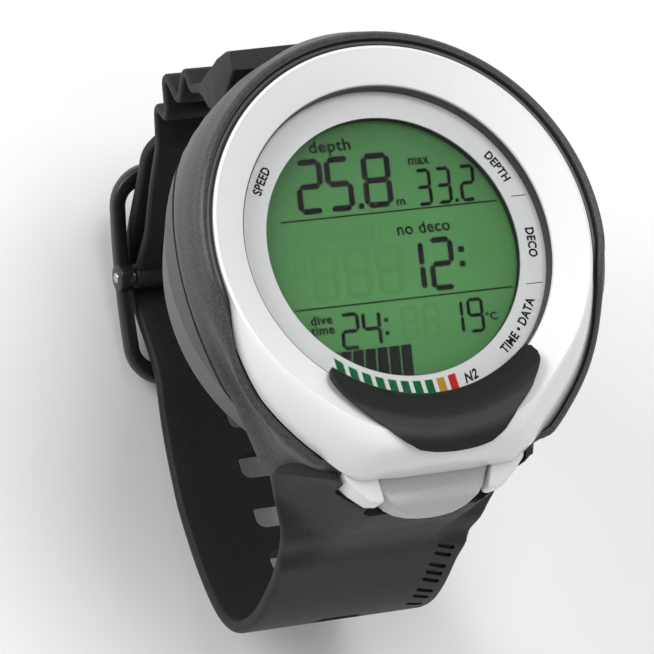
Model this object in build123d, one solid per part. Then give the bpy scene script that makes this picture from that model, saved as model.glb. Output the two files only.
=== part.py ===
from build123d import *
from math import cos, radians, sin
import os

# Wrist-worn dive computer: a round case with a raised bezel, one mode button at 6 o'clock,
# a battery door in the back, and a two-piece rubber strap closed by a buckle.
# Millimetres. The origin is the centre of the case's flat back. +Z leaves the dial,
# +Y points to 12 o'clock and +X to 3 o'clock. The strap's loop hangs below the back.

# ---------------------------------------------------------------- driving dimensions
BEZEL_R = 31.0              # crest of the bezel
GLASS_R = 25.4              # bezel's inner edge, the visible lens
WINDOW_R = 20.9             # opening of the dial ring
CASE_R = 34.8               # widest part of the case
CROWN_R = 24.5              # rounding of the bulge at 12 o'clock
RIM_R = 32.5                # inner edge of the case's rim
RIM_Z = 26.8
CREST_Z = 26.4              # crest of the bezel
DIAL_Z = 21.5               # face of the dial ring
DIAL_T = 0.3
LENS_R = 25.2
BEZEL_SEAT_Z = 23.5
SKIRT_Z = 18.6              # lower edge of the bezel's skirt at 6 o'clock
SEAM_TOP_Z = 19.2           # parting line of case and rear cover at 9 o'clock
SEAM_R = 35.0               # that line is an arch about an axis along X
COVER_FLOOR = 2.8
CAVITY_R = 26.9             # bore of the case behind the display
DISPLAY_BORE_R = 25.2       # bore that holds the display
LENS_BORE_R = 27.2
SEAT_R = 32.0               # seat of the bezel and its gasket
BACK_R = 29.0               # flat back

DOOR_R = 14.5               # battery door
CELL_R = 12.25              # coin cell, 24.5 mm by 5 mm
CELL_T = 5.0
CELL_Z = 4.3
CELL_BORE_R = 13.4
CUP_R = 16.8                # battery cup inside the rear cover
CUP_TOP = 11.0
BAYONET_R = 16.0            # groove that the door's three lugs turn in
TUBE_R = 26.85              # rear cover's inner tube, a slide fit in the case
TUBE_BORE_R = 25.9
TUBE_TOP = 16.1
SHELF_Z = 17.0              # shelf of the case that the tube's O-ring seals against
SCREW_RING_R = 28.2
POST_RING_R = 21.5

BOARD_Z = 12.2
BOARD_TOP = 13.4
BOARD_R = 25.5
GUIDE_Z = 16.0              # underside of the display stack
REAR_GLASS_Z = 17.8
FRONT_GLASS_Z = 18.8
DISPLAY_TOP = 20.0
GUIDE_R = 20.8
FRONT_GLASS_R = 24.0

BUTTON_AXIS_Z = 13.6
BUTTON_TRAVEL = 1.2
SWITCH_TRAVEL = 0.25
STEM_R = 1.5
STEM_END_Y = -22.6
CAP_BACK_Y = -32.2
WELL_Y = -28.6              # floor of the return spring's well
SPRING_WIRE_R = 0.2
SPRING_R = 1.95
SPRING_TURNS = 4

LUG_PIN_R = 1.0
LUG_PIN_HALF = 13.0
LOWER_PIN = (-32.6, 5.6)    # (y, z) of the strap pins
UPPER_PIN = (32.6, 6.6)
TAB_HALF = 9.8              # half width of the case's strap tabs

STRAP_T = 2.2
PLEAT_T = 1.6
STRAP_HALF = 14.9           # half width at the buckle
HOLE_PITCH = 9.4
HOLE_W = 8.0
HOLE_L = 4.6
HOLES_BEFORE = 8            # holes between the case and the one in use
HOLES_AFTER = 2

BUCKLE_PIN = (20.8, -51.4)  # (y, z)
BUCKLE_TILT = 18.0          # slope of the strap at the pin, degrees
BUCKLE_R = 70.0             # the frame is curved to this radius
BUCKLE_T = 2.6
BUCKLE_HALF = 18.0
BUCKLE_REACH = 15.6         # degrees of arc each side of the pin
WINDOW_REACH = 12.4         # degrees of arc of the window each side of the pin
WINDOW_HALF = 15.6
BUCKLE_PIN_R = 0.9
BOSS_R = 2.4
KNUCKLE_R = 2.1
PIN_INSET = 0.5             # the pin lies this far inside the frame's middle
TONGUE_HALF = 3.5

RUN = 0.05                  # radial running clearance
GAP = 0.3                   # clearance between parts that move past each other


# ---------------------------------------------------------------- helpers
def disc(radius, z0, z1, x=0.0, y=0.0):
    return extrude(Pos(x, y, z0) * Circle(radius), z1 - z0)


def ring(outer, inner, z0, z1):
    return extrude(Pos(0, 0, z0) * (Circle(outer) - Circle(inner)), z1 - z0)


def block(x0, x1, y0, y1, z0, z1):
    return Pos((x0 + x1) / 2, (y0 + y1) / 2, (z0 + z1) / 2) * Box(x1 - x0, y1 - y0, z1 - z0)


def outline(points):
    return make_face(Polyline(*points, close=True))


def turned(points):
    """Solid of revolution about Z from (radius, z) points."""
    return revolve(Plane.XZ * outline(points), Axis.Z)


def across(face, half):
    """Prism along X from a face drawn in (y, z)."""
    return extrude(Plane.YZ * face, half, both=True)


def upright(points, z0, z1):
    """Prism along Z from (x, y) points."""
    return extrude(Pos(0, 0, z0) * outline(points), z1 - z0)


def mirrored(points):
    """Close an outline drawn on the +X side by its mirror image."""
    return points + [(-x, y) for x, y in reversed(points) if x > 0]


def rod(radius, half, at, x=0.0):
    """Cylinder along X about the point (y, z)."""
    return Pos(x, at[0], at[1]) * Rot(0, 90, 0) * Cylinder(radius, 2 * half)


def rod_y(radius, y0, y1, x=0.0, z=BUTTON_AXIS_Z):
    """Cylinder along Y."""
    return Pos(x, (y0 + y1) / 2, z) * Rot(90, 0, 0) * Cylinder(radius, y1 - y0)


def ribbon(path, half_at, steps):
    """Face of a strap seen from the side: its middle line thickened by half_at(u) each way."""
    outer = []
    inner = []
    for i in range(steps + 1):
        u = i / steps
        at = path @ u
        along = path % u
        side = Vector(-along.Y, along.X) * half_at(u)
        outer.append(at + side)
        inner.append(at - side)
    ends = [Line(outer[0], inner[0]), Line(outer[-1], inner[-1])]
    return make_face([Spline(*outer), Spline(*inner)] + ends)


def polar(radius, degrees):
    """Place at a radius and angle about Z."""
    return Pos(radius * cos(radians(degrees)), radius * sin(radians(degrees)), 0)


os.makedirs("parts", exist_ok=True)

# ---------------------------------------------------------------- case envelope
body = turned([(0, 0), (BACK_R, 0), (31.0, 1.6), (CASE_R, 14.5), (CASE_R, 20.2),
               (34.2, 23.6), (33.0, RIM_Z), (0, RIM_Z)])
chin = upright(mirrored([(0, -35.4), (15.5, -35.4), (24.0, -28.4), (29.5, -18.0), (0, -18.0)]), 4.0, 19.8)
crown = disc(CROWN_R, 6.0, 21.5, y=35.9 - CROWN_R)
envelope = body + chin + crown

# The parting line is an arch: the rear cover lies under it, between the two straps. Above
# the tube, the case keeps a wall inside the cover for the shelf and the display.
arch_z = SEAM_TOP_Z - SEAM_R
inner_wall = disc(28.0, TUBE_TOP, 30)
cover_zone = rod(SEAM_R, 40, (0, arch_z)) - inner_wall
cover_room = rod(SEAM_R + 0.2, 40, (0, arch_z))

# The straps meet the case on sloping seams. Each zone is cut from the case, and the strap
# keeps inside a zone that is a little smaller.
lower_zone = across(outline([(-27.2, 4.0), (-34.6, 19.0), (-50, 19.0), (-50, -5), (-27.2, -5)]), 40)
upper_zone = across(outline([(28.4, 4.5), (33.0, 13.5), (50, 13.5), (50, -5), (28.4, -5)]), 40)
lower_strap_zone = across(outline([(-27.4, 4.0), (-34.8, 18.8), (-50, 18.8), (-50, -5), (-27.4, -5)]), 40)
upper_strap_zone = across(outline([(28.6, 4.5), (33.2, 13.3), (50, 13.3), (50, -5), (28.6, -5)]), 40)

# ---------------------------------------------------------------- bezel and badge
bezel_ring = turned([(GLASS_R, BEZEL_SEAT_Z), (GLASS_R, 23.9), (30.4, CREST_Z), (BEZEL_R, 26.0),
                     (BEZEL_R, BEZEL_SEAT_Z)])

# The skirt flares outward below the crest. Its lower edge lies in a plane that drops
# towards 6 o'clock, so the skirt grows from nothing at the sides.
skirt_cone = turned([(30.0, CREST_Z), (30.6, CREST_Z), (32.6, 23.7), (34.4, 21.0), (37.4, 17.6),
                     (36.5, 17.0), (33.5, 20.5), (31.6, 23.2), (30.0, 23.8)])
SKIRT_START_Y = -9.0
above_edge = across(outline([(SKIRT_START_Y, 24.15), (-45, 15.9), (-45, 30), (SKIRT_START_Y, 30)]), 40)
skirt = skirt_cone & above_edge
nose = across(outline([(-26.5, 24.2), (-26.5, 25.6), (-30.5, 27.0), (-33.6, 26.8), (-34.9, 24.0),
                       (-35.4, 17.7), (-33.6, 17.7), (-33.0, 22.0)]), 14.0)
arm = upright([(9.9, -33.8), (15.0, -33.8), (9.6, -38.6), (8.6, -38.6)], 13.4, 18.2)
arms = arm + mirror(arm, Plane.YZ)
badge_plan = mirrored([(0, -25.6), (17.0, -20.0), (17.3, -22.0), (16.2, -23.8), (13.7, -26.9),
                       (9.2, -31.6), (6.0, -33.3), (0, -33.9)])
badge_blank = upright(badge_plan, 25.0, 27.3) - disc(25.5, 20, 30)
badge = badge_blank - turned([(0, 25.9), (25.5, 25.9), (30.0, 27.3), (30.0, 28.0), (0, 28.0)])
bezel = bezel_ring + skirt + nose + arms - badge_blank - upright(badge_plan, 27.0, 30.0)
bezel -= disc(GLASS_R, 20, 30)

skirt_room = turned([(29.9, BEZEL_SEAT_Z), (31.4, 23.1), (33.3, 20.3), (36.4, 16.6), (45, 16.6),
                     (45, 30), (29.9, 30)])
skirt_room &= across(outline([(SKIRT_START_Y + 0.3, 24.0), (-45, 15.6), (-45, 31),
                              (SKIRT_START_Y + 0.3, 31)]), 50)
nose_room = across(outline([(-26.4, 24.1), (-32.9, 21.9), (-33.5, 17.6), (-45, 17.6), (-45, 30),
                            (-26.4, 30)]), 14.1)
arm_room = upright([(9.8, -33.7), (15.4, -33.7), (9.8, -39.0), (8.5, -39.0)], 13.2, 19.0)
bezel_room = skirt_room + nose_room + arm_room + mirror(arm_room, Plane.YZ)

# ---------------------------------------------------------------- mode button
cap_plan = mirrored([(0, CAP_BACK_Y), (9.2, CAP_BACK_Y), (9.2, -35.0), (8.4, -37.6), (6.7, -39.4),
                     (4.0, -40.5), (0, -40.9)])
cap_side = across(outline([(CAP_BACK_Y, 17.2), (-34.8, 17.2), (-36.8, 15.7), (-38.6, 15.6),
                           (-40.0, 14.4), (-41.2, 11.4), (CAP_BACK_Y, 10.9)]), 12)
button_cap = upright(cap_plan, 10.0, 17.6) & cap_side
cap_room = block(-9.9, 9.9, -45, -30.2, 10.3, 17.55)

bore_end_y = -CAVITY_R
groove_y = bore_end_y - 0.85
clip_y = bore_end_y + 0.1
CLIP_T = 0.4
button_stem = rod_y(STEM_R, CAP_BACK_Y, STEM_END_Y)
button_stem -= rod_y(2.0, groove_y - 0.4, groove_y + 0.4) - rod_y(1.0, groove_y - 0.4, groove_y + 0.4)
button_stem -= rod_y(2.0, clip_y, clip_y + CLIP_T) - rod_y(1.1, clip_y, clip_y + CLIP_T)
stem_o_ring = Pos(0, groove_y, BUTTON_AXIS_Z) * Rot(90, 0, 0) * Torus(1.25, 0.24)
stem_clip = rod_y(1.8, clip_y, clip_y + CLIP_T) - rod_y(1.1, clip_y, clip_y + CLIP_T)
stem_clip -= block(-0.8, 0.8, clip_y, clip_y + CLIP_T, 10, 13.0)

coil_length = WELL_Y - CAP_BACK_Y - 2 * SPRING_WIRE_R
coil_path = Helix(pitch=coil_length / SPRING_TURNS, height=coil_length, radius=SPRING_R)
coil_section = Plane(origin=coil_path @ 0, z_dir=coil_path % 0) * Circle(SPRING_WIRE_R)
coil = sweep(coil_section, path=coil_path)
button_spring = Pos(0, CAP_BACK_Y + SPRING_WIRE_R, BUTTON_AXIS_Z) * Rot(-90, 0, 0) * coil

SWITCH_Z = 14.3
plunger_y = STEM_END_Y + BUTTON_TRAVEL - SWITCH_TRAVEL + 0.01
tact_switch = block(-2.8, 2.8, -20.6, -17.2, BOARD_TOP, 15.4) - rod_y(0.65, -21, -19.2, z=SWITCH_Z)
switch_plunger = rod_y(0.6, plunger_y, -19.6, z=SWITCH_Z)

# ---------------------------------------------------------------- main case
lower_tab = across(outline([(-26.6, 12.5), (-36.0, 10.2), (-36.4, 5.5), (-34.6, 2.2), (-30.9, 2.2),
                            (-28.6, 7.0)]), TAB_HALF)
upper_tab = across(outline([(26.6, 12.5), (33.2, 14.0), (36.2, 7.0), (34.8, 3.2), (31.0, 2.6),
                            (28.8, 7.0)]), TAB_HALF)
SCREW_AT = [polar(SCREW_RING_R, a) for a in (58, 122, 238, 302)]
main_case = envelope - cover_zone - lower_zone - upper_zone
main_case += lower_tab + upper_tab
main_case -= disc(CAVITY_R, -1, SHELF_Z) + disc(DISPLAY_BORE_R, 10, 30)
main_case -= disc(LENS_BORE_R, DIAL_Z - DIAL_T, 30) + disc(SEAT_R, BEZEL_SEAT_Z, 30) + disc(RIM_R, 24.8, 30)
main_case -= bezel_room
main_case -= cap_room + rod_y(2.35, -31, WELL_Y) + rod_y(STEM_R + RUN, -31, -25)
main_case -= rod(LUG_PIN_R, 12, LOWER_PIN) + rod(LUG_PIN_R, 12, UPPER_PIN)
main_case -= [at * disc(0.8, 0, 15.0) for at in SCREW_AT]

# ---------------------------------------------------------------- rear cover and battery
POST_AT = [polar(POST_RING_R, a) for a in (45, 135, 225, 315)]
sensor_at = Pos(0, 21.9, 0)
CONTACT_AT = [Pos(21.9, 4.0, 0), Pos(21.9, -4.0, 0)]
LUG_ANGLES = (0, 120, 240)

rear_cover = (body & cover_zone) - disc(TUBE_BORE_R, COVER_FLOOR, 30)
rear_cover += ring(TUBE_R, TUBE_BORE_R, 2.0, TUBE_TOP) + disc(CUP_R, 1.0, CUP_TOP)
rear_cover += [at * disc(1.8, 1.0, BOARD_Z) for at in POST_AT]
rear_cover -= rod_y(2.0, -30, -24)
entry = block(12, 17, -5.0, 5.0, -1, 1.2) & disc(BAYONET_R, -1, 1.2)
door_room = disc(CELL_BORE_R, -1, 10.0) + disc(DOOR_R + 0.15, -1, 1.2) + disc(BAYONET_R, 1.2, 2.7)
door_room += [Rot(0, 0, 60 + a) * entry for a in LUG_ANGLES]
rear_cover -= door_room
rear_cover -= [at * disc(1.6, -1, 2.4) for at in SCREW_AT]
rear_cover -= [at * disc(0.8, 0, 20) for at in SCREW_AT]
rear_cover -= [at * disc(0.7, 8.0, 20) for at in POST_AT]
rear_cover -= sensor_at * disc(3.1, 1.6, 5)
rear_cover -= [Pos(x, 0, 0) * sensor_at * disc(0.45, -1, 2) for x in (-1.3, 0, 1.3)]
rear_cover -= [at * disc(1.6, -1, 1.0) for at in CONTACT_AT]
rear_cover -= [at * disc(1.0, 0, 5) for at in CONTACT_AT]
rear_cover -= block(-0.6, 0.6, 3.0, 4.2, 9, 12) + block(12.0, 13.2, -0.6, 0.6, 9, 12)

cross_slot = block(-1.1, 1.1, -0.2, 0.2, 1.0, 1.8) + block(-0.2, 0.2, -1.1, 1.1, 1.0, 1.8)
case_screw = disc(1.5, 1.2, 2.4) + disc(0.8, 2.4, 15.0) - cross_slot
rear_screws = [at * case_screw for at in SCREW_AT]
case_o_ring = Pos(0, 0, TUBE_TOP + 0.45) * Torus(26.37, 0.45)

door_lug = block(14.0, 17, -3.6, 3.6, 1.4, 2.4) & disc(BAYONET_R - 0.2, 1.4, 2.4)
battery_door = disc(DOOR_R, 0.15, 2.4) + disc(13.3, 2.4, 4.1)
battery_door += [Rot(0, 0, a) * door_lug for a in LUG_ANGLES]
battery_door -= ring(14, 12.6, 2.8, 3.7) + block(-6.5, 6.5, -0.9, 0.9, -1, 1.3)
battery_door -= [Pos(x, 0, 0) * disc(2.6, -1, 0.8) for x in (-4.6, 4.6)]
door_o_ring = Pos(0, 0, 3.25) * Torus(12.98, 0.37)
battery = disc(CELL_R, CELL_Z, CELL_Z + CELL_T)
battery = fillet(battery.edges(), 0.5)
cell_top = CELL_Z + CELL_T
minus_contact = block(-1.5, 1.5, -4.0, 4.0, cell_top + 0.2, cell_top + 0.45)
minus_contact += disc(1.0, cell_top, cell_top + 0.3) + block(-0.5, 0.5, 3.1, 4.1, cell_top + 0.3, BOARD_Z)
plus_contact = block(CELL_R, CELL_R + 0.3, -3.0, 3.0, 5.0, 9.7) + block(CELL_R, 13.0, -0.5, 0.5, 9.3, BOARD_Z)

# ---------------------------------------------------------------- electronics
main_board = disc(BOARD_R, BOARD_Z, BOARD_TOP) - block(-5.0, 5.0, -27, -20.8, 10, 20)
main_board -= [at * disc(0.7, 10, 20) for at in POST_AT]
board_screw = disc(1.3, BOARD_TOP, 14.2) + disc(0.7, 9.0, BOARD_TOP) - block(-0.9, 0.9, -0.2, 0.2, 13.8, 15)
board_screws = [at * board_screw for at in POST_AT]
processor = block(-8.0, 2.0, -4.0, 6.0, BOARD_TOP, 14.4)
memory_chip = block(6.0, 11.0, 2.0, 6.0, BOARD_TOP, 14.2)
crystal = Pos(9.0, -5.0, 14.4) * Rot(0, 90, 0) * Cylinder(1.0, 6.0)
capacitors = [block(x, x + 1.0, y, y + 1.8, BOARD_TOP, 14.3) for x in (-14.0, -11.5) for y in (-8, -4, 4)]
pressure_sensor = sensor_at * (disc(3.0, 2.2, 6.0) - disc(1.8, 2.0, 3.6))
sensor_o_ring = sensor_at * Pos(0, 0, 1.9) * Torus(2.4, 0.29)
buzzer = Pos(-21.4, 0, 0) * (disc(4.2, COVER_FLOOR, 3.1) + disc(3.2, 3.1, 3.4))
water_contact = disc(1.6, 0.1, 1.0) + disc(1.0, 1.0, 5.0)
water_contacts = [at * water_contact for at in CONTACT_AT]

# ---------------------------------------------------------------- display and lens
backlight_guide = disc(GUIDE_R, GUIDE_Z, 17.6)
backlight_leds = [block(x - 1.2, x + 1.2, 21.0, 22.4, BOARD_TOP, 16.9) for x in (-6.0, 6.0)]
rear_polarizer = disc(GUIDE_R, 17.6, REAR_GLASS_Z)
rear_glass = disc(FRONT_GLASS_R, REAR_GLASS_Z, FRONT_GLASS_Z) & block(-20.9, 20.9, -25, 25, 10, 30)
front_glass = disc(FRONT_GLASS_R, FRONT_GLASS_Z, 19.8)
front_polarizer = disc(23.0, 19.8, DISPLAY_TOP)
contact_strips = [block(x - 0.8, x + 0.8, -7.0, 7.0, BOARD_TOP, FRONT_GLASS_Z) for x in (-22.2, 22.2)]
spoke = block(18.5, 24.6, -2.0, 2.0, 15.4, GUIDE_Z)
display_holder = ring(25.1, 24.1, 15.4, DIAL_Z - DIAL_T)
display_holder += ring(25.1, WINDOW_R, DISPLAY_TOP, DIAL_Z - DIAL_T)
display_holder += ring(21.0, 18.0, 15.4, GUIDE_Z)
display_holder += [Rot(0, 0, a) * spoke for a in (45, 135, 225, 315)]
dial_ring = ring(27.1, WINDOW_R, DIAL_Z - DIAL_T, DIAL_Z)
lens = disc(LENS_R, DIAL_Z + 0.1, 23.3)
lens = chamfer(lens.edges().group_by(Axis.Z)[-1], 0.2)
lens_gasket = ring(LENS_BORE_R, LENS_R, DIAL_Z, BEZEL_SEAT_Z)
rim_gasket = ring(SEAT_R, BEZEL_R, BEZEL_SEAT_Z, 26.1) - bezel_room

# ---------------------------------------------------------------- buckle
along_strap = Vector(cos(radians(BUCKLE_TILT)), sin(radians(BUCKLE_TILT)))
outward = Vector(sin(radians(BUCKLE_TILT)), -cos(radians(BUCKLE_TILT)))
pin_at = Vector(*BUCKLE_PIN)
arc_centre = pin_at - outward * (BUCKLE_R - PIN_INSET)


def on_buckle(s, n):
    """(y, z) of a point s along the strap and n outward from the pin."""
    at = pin_at + along_strap * s + outward * n
    return (at.X, at.Y)


def on_arc(radius, degrees):
    """(y, z) of a point on the frame's arc, by radius and angle from the pin."""
    turn = radians(BUCKLE_TILT - 90 + degrees)
    at = arc_centre + Vector(cos(turn), sin(turn)) * radius
    return (at.X, at.Y)


def arc_slab(r0, r1, reach, half, corner):
    """Curved slab about the frame's arc, with its four corners rounded."""
    face = make_face([
        ThreePointArc(on_arc(r0, -reach), on_arc(r0, 0), on_arc(r0, reach)),
        Line(on_arc(r0, reach), on_arc(r1, reach)),
        ThreePointArc(on_arc(r1, reach), on_arc(r1, 0), on_arc(r1, -reach)),
        Line(on_arc(r1, -reach), on_arc(r0, -reach))])
    slab = across(face, half)
    through = [e for e in slab.edges() if abs(e.length - (r1 - r0)) < 0.01]
    return fillet(through, corner)


frame_slab = arc_slab(BUCKLE_R - BUCKLE_T / 2, BUCKLE_R + BUCKLE_T / 2, BUCKLE_REACH, BUCKLE_HALF, 7.0)
window = arc_slab(BUCKLE_R - BUCKLE_T, BUCKLE_R + BUCKLE_T, WINDOW_REACH, WINDOW_HALF, 3.0)
rail_mid = (WINDOW_HALF + BUCKLE_HALF) / 2
bosses = [rod(BOSS_R, BUCKLE_HALF - rail_mid, BUCKLE_PIN, x) for x in (-rail_mid, rail_mid)]
buckle_frame = frame_slab - window + bosses - rod(BUCKLE_PIN_R, 30, BUCKLE_PIN)
buckle_pin = rod(BUCKLE_PIN_R, BUCKLE_HALF - 0.2, BUCKLE_PIN)

# The tongue leaves its knuckle through the strap's hole and lies back on the lower bar.
tongue_side = outline([on_buckle(s, n) for s, n in (
    (-1.2, 1.0), (-1.2, 4.95), (-16.0, -0.02), (-17.6, 0.2), (-17.6, 1.6), (-16.4, 2.0),
    (-2.2, 6.9), (-0.4, 6.9), (0.8, 5.8), (0.8, 1.0))])
buckle_tongue = across(tongue_side, TONGUE_HALF) + rod(KNUCKLE_R, TONGUE_HALF, BUCKLE_PIN)
buckle_tongue -= rod(BUCKLE_PIN_R + RUN, 10, BUCKLE_PIN)

# ---------------------------------------------------------------- long strap
BAR_DEG = 13.5
bar_inside = BUCKLE_R - BUCKLE_T / 2 - 1.3 - STRAP_T / 2
over_pin = BUCKLE_R - PIN_INSET + KNUCKLE_R + 0.4 + STRAP_T / 2
lower_path = Spline((-34.4, 10.0), (-35.0, 3.5), (-37.0, -4.0), (-41.2, -16.0), (-44.9, -28.5),
                    (-42.9, -39.3), (-32.9, -46.3), (-17.8, -50.2), (-3.5, -51.6),
                    on_arc(bar_inside, -BAR_DEG), on_arc(over_pin, 0.4), on_arc(bar_inside - 0.7, BAR_DEG),
                    (41.0, -31.5))
ROOT_SHARE = 0.11           # share of the length over which the root thins out
ROOT_EXTRA = 2.6
lower_side = ribbon(lower_path, lambda u: STRAP_T / 2 + ROOT_EXTRA * max(0.0, 1 - u / ROOT_SHARE), 80)
near_front = mirrored([(0, 20), (21.5, 14.0), (21.5, 5.5), (19.6, 1.5), (17.9, -4.0), (16.6, -10.0),
                       (16.0, -17.0), (16.3, -30.0), (16.3, -60.0), (0, -60.0)])
near_prism = extrude(Plane.XZ * outline(near_front), 60) - block(-40, 40, -20, 60, -80, 40)
far_plan = mirrored([(0, -20.1), (16.3, -20.1), (STRAP_HALF, 2.0), (STRAP_HALF, 36.5), (11.0, 40.3),
                     (0, 41.5)])
far_prism = upright(far_plan, -80, -20)
hole_cutter = extrude(RectangleRounded(HOLE_W, HOLE_L, 1.6), 5, both=True)


def hole_on(path, arc):
    """Hole cutter square to the strap, arc millimetres along its middle line."""
    at = path @ (arc / path.length)
    along = path % (arc / path.length)
    return Plane(origin=(0, at.X, at.Y), x_dir=(1, 0, 0), z_dir=(0, -along.Y, along.X)) * hole_cutter


SAMPLES = 800
pin_hole = Vector(*on_buckle(0.6, 3.6))
nearest = min(range(SAMPLES), key=lambda i: (lower_path @ (i / SAMPLES) - pin_hole).length)
pin_hole_arc = lower_path.length * nearest / SAMPLES
hole_arcs = [pin_hole_arc + HOLE_PITCH * i for i in range(-HOLES_BEFORE, HOLES_AFTER + 1)]

lower_root = across(outline([(-27.6, 4.6), (-34.0, 17.4), (-36.6, 17.0), (-39.4, 9.6), (-39.6, 3.0),
                             (-38.6, -2.0), (-34.0, -2.0), (-30.8, 1.0)]), 23)
lower_root &= upright(mirrored([(0, -20), (22.5, -25), (22.0, -29.0), (16.8, -34.2), (10.5, -39.0),
                                (8.0, -40.5), (0, -40.5)]), -10, 20)
lower_strap = (across(lower_side, 23) & (near_prism + far_prism)) + lower_root
lower_strap -= block(-TAB_HALF - GAP, TAB_HALF + GAP, -37.2, -20, 0.5, 30)
lower_strap -= block(-10.4, 10.4, -45, -20, 10.0, 30)
lower_strap -= envelope - lower_strap_zone
lower_strap -= cover_room + bezel_room
lower_strap -= rod(LUG_PIN_R, 40, LOWER_PIN) & block(-LUG_PIN_HALF, LUG_PIN_HALF, -60, 60, -60, 60)
lower_strap -= [hole_on(lower_path, arc) for arc in hole_arcs]
lower_strap_pin = rod(LUG_PIN_R, LUG_PIN_HALF, LOWER_PIN)

# ---------------------------------------------------------------- short strap
pleats = [(34.0, 7.0), (36.0, -1.0), (37.3, -5.0), (41.5, -6.1), (37.2, -11.2), (44.6, -15.0),
          (36.8, -18.2), (41.1, -22.5), (35.2, -26.2), (31.0, -34.0), (25.1, -42.7), BUCKLE_PIN]
PLEAT_RADII = (4.0, 1.2, 1.2, 1.3, 1.3, 1.3, 1.3, 2.0, 12.0, 12.0)
upper_path = FilletPolyline(*pleats, radius=PLEAT_RADII)
upper_side = trace(upper_path, line_width=PLEAT_T)
upper_front = mirrored([(0, 14), (16.5, 14.0), (16.8, -15.0), (STRAP_HALF, -42.0), (STRAP_HALF, -60),
                        (0, -60)])
upper_strap = across(upper_side, 18) + rod(KNUCKLE_R, 18, BUCKLE_PIN)
upper_strap += across(outline([(29.3, 4.6), (33.6, 13.2), (37.6, 13.3), (38.2, 7.0), (37.0, -3.0),
                               (35.4, -3.0), (31.8, 0.8)]), 18)
upper_strap &= extrude(Plane.XZ * outline(upper_front), 80, both=True)
upper_strap -= block(-TAB_HALF - GAP, TAB_HALF + GAP, 20, 36.6, 0.5, 30)
upper_strap -= envelope - upper_strap_zone
upper_strap -= cover_room
upper_strap -= rod(LUG_PIN_R, LUG_PIN_HALF, UPPER_PIN)
upper_strap -= rod(BUCKLE_PIN_R + RUN, 30, BUCKLE_PIN)
upper_strap -= rod(KNUCKLE_R + 0.5, TONGUE_HALF + 0.4, BUCKLE_PIN)
upper_strap_pin = rod(LUG_PIN_R, LUG_PIN_HALF, UPPER_PIN)

# ---------------------------------------------------------------- nodes
NODES = {
    "main_case": main_case,
    "rear_cover": rear_cover,
    "case_o_ring": case_o_ring,
    "rear_screws": rear_screws,
    "bezel": bezel,
    "rim_gasket": rim_gasket,
    "badge": badge,
    "lens": lens,
    "lens_gasket": lens_gasket,
    "dial_ring": dial_ring,
    "front_polarizer": front_polarizer,
    "front_glass": front_glass,
    "rear_glass": rear_glass,
    "rear_polarizer": rear_polarizer,
    "backlight_guide": backlight_guide,
    "backlight_leds": backlight_leds,
    "display_holder": display_holder,
    "contact_strips": contact_strips,
    "main_board": main_board,
    "board_screws": board_screws,
    "processor": processor,
    "memory_chip": memory_chip,
    "crystal": crystal,
    "capacitors": capacitors,
    "buzzer": buzzer,
    "pressure_sensor": pressure_sensor,
    "sensor_o_ring": sensor_o_ring,
    "water_contacts": water_contacts,
    "battery": battery,
    "plus_contact": plus_contact,
    "minus_contact": minus_contact,
    "battery_door": battery_door,
    "door_o_ring": door_o_ring,
    "button_cap": button_cap,
    "button_stem": button_stem,
    "stem_o_ring": stem_o_ring,
    "stem_clip": stem_clip,
    "button_spring": button_spring,
    "tact_switch": tact_switch,
    "switch_plunger": switch_plunger,
    "lower_strap": lower_strap,
    "lower_strap_pin": lower_strap_pin,
    "upper_strap": upper_strap,
    "upper_strap_pin": upper_strap_pin,
    "buckle_frame": buckle_frame,
    "buckle_pin": buckle_pin,
    "buckle_tongue": buckle_tongue,
}
for name, solid in NODES.items():
    node = Compound(children=solid) if isinstance(solid, list) else solid
    node.label = name
    export_step(node, f"parts/{name}.step")
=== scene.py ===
"""Looks of a wrist-worn dive computer: shells, display, button, straps and buckle, with their finishes."""
import logging
import math
from dataclasses import dataclass, field
from enum import Enum
from typing import Callable, Optional, Sequence, Union

import bmesh
import bpy
import numpy as np
from mathutils import Matrix, Vector


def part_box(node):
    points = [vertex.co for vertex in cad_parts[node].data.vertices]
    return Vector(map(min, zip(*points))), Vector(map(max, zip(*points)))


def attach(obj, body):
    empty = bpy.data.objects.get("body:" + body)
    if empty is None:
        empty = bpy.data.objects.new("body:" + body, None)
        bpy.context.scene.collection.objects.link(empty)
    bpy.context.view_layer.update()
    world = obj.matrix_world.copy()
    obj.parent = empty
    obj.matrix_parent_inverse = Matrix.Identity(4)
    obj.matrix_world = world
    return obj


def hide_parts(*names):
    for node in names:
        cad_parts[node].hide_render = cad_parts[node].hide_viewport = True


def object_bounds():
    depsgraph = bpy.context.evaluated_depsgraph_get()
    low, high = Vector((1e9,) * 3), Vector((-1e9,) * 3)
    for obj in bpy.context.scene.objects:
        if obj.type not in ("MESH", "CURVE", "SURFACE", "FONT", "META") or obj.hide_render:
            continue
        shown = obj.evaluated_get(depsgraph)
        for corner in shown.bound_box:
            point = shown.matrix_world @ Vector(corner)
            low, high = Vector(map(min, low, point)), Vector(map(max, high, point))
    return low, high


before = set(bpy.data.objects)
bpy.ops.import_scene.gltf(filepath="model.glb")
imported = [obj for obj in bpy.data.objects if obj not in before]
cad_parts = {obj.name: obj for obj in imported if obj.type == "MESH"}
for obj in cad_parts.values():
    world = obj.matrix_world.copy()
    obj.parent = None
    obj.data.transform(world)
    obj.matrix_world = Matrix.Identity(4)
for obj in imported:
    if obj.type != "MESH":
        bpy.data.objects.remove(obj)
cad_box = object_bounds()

LOG = logging.getLogger("dive_computer")
MM = 0.001
Place = Callable[[int, int], Vector]
Table = Sequence[tuple[float, ...]]


# ------------------------------------------------------------------ numbers
def mm(x: float, y: float, z: float) -> Vector:
    """Point given in millimetres."""
    return Vector((x, y, z)) * MM


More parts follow.
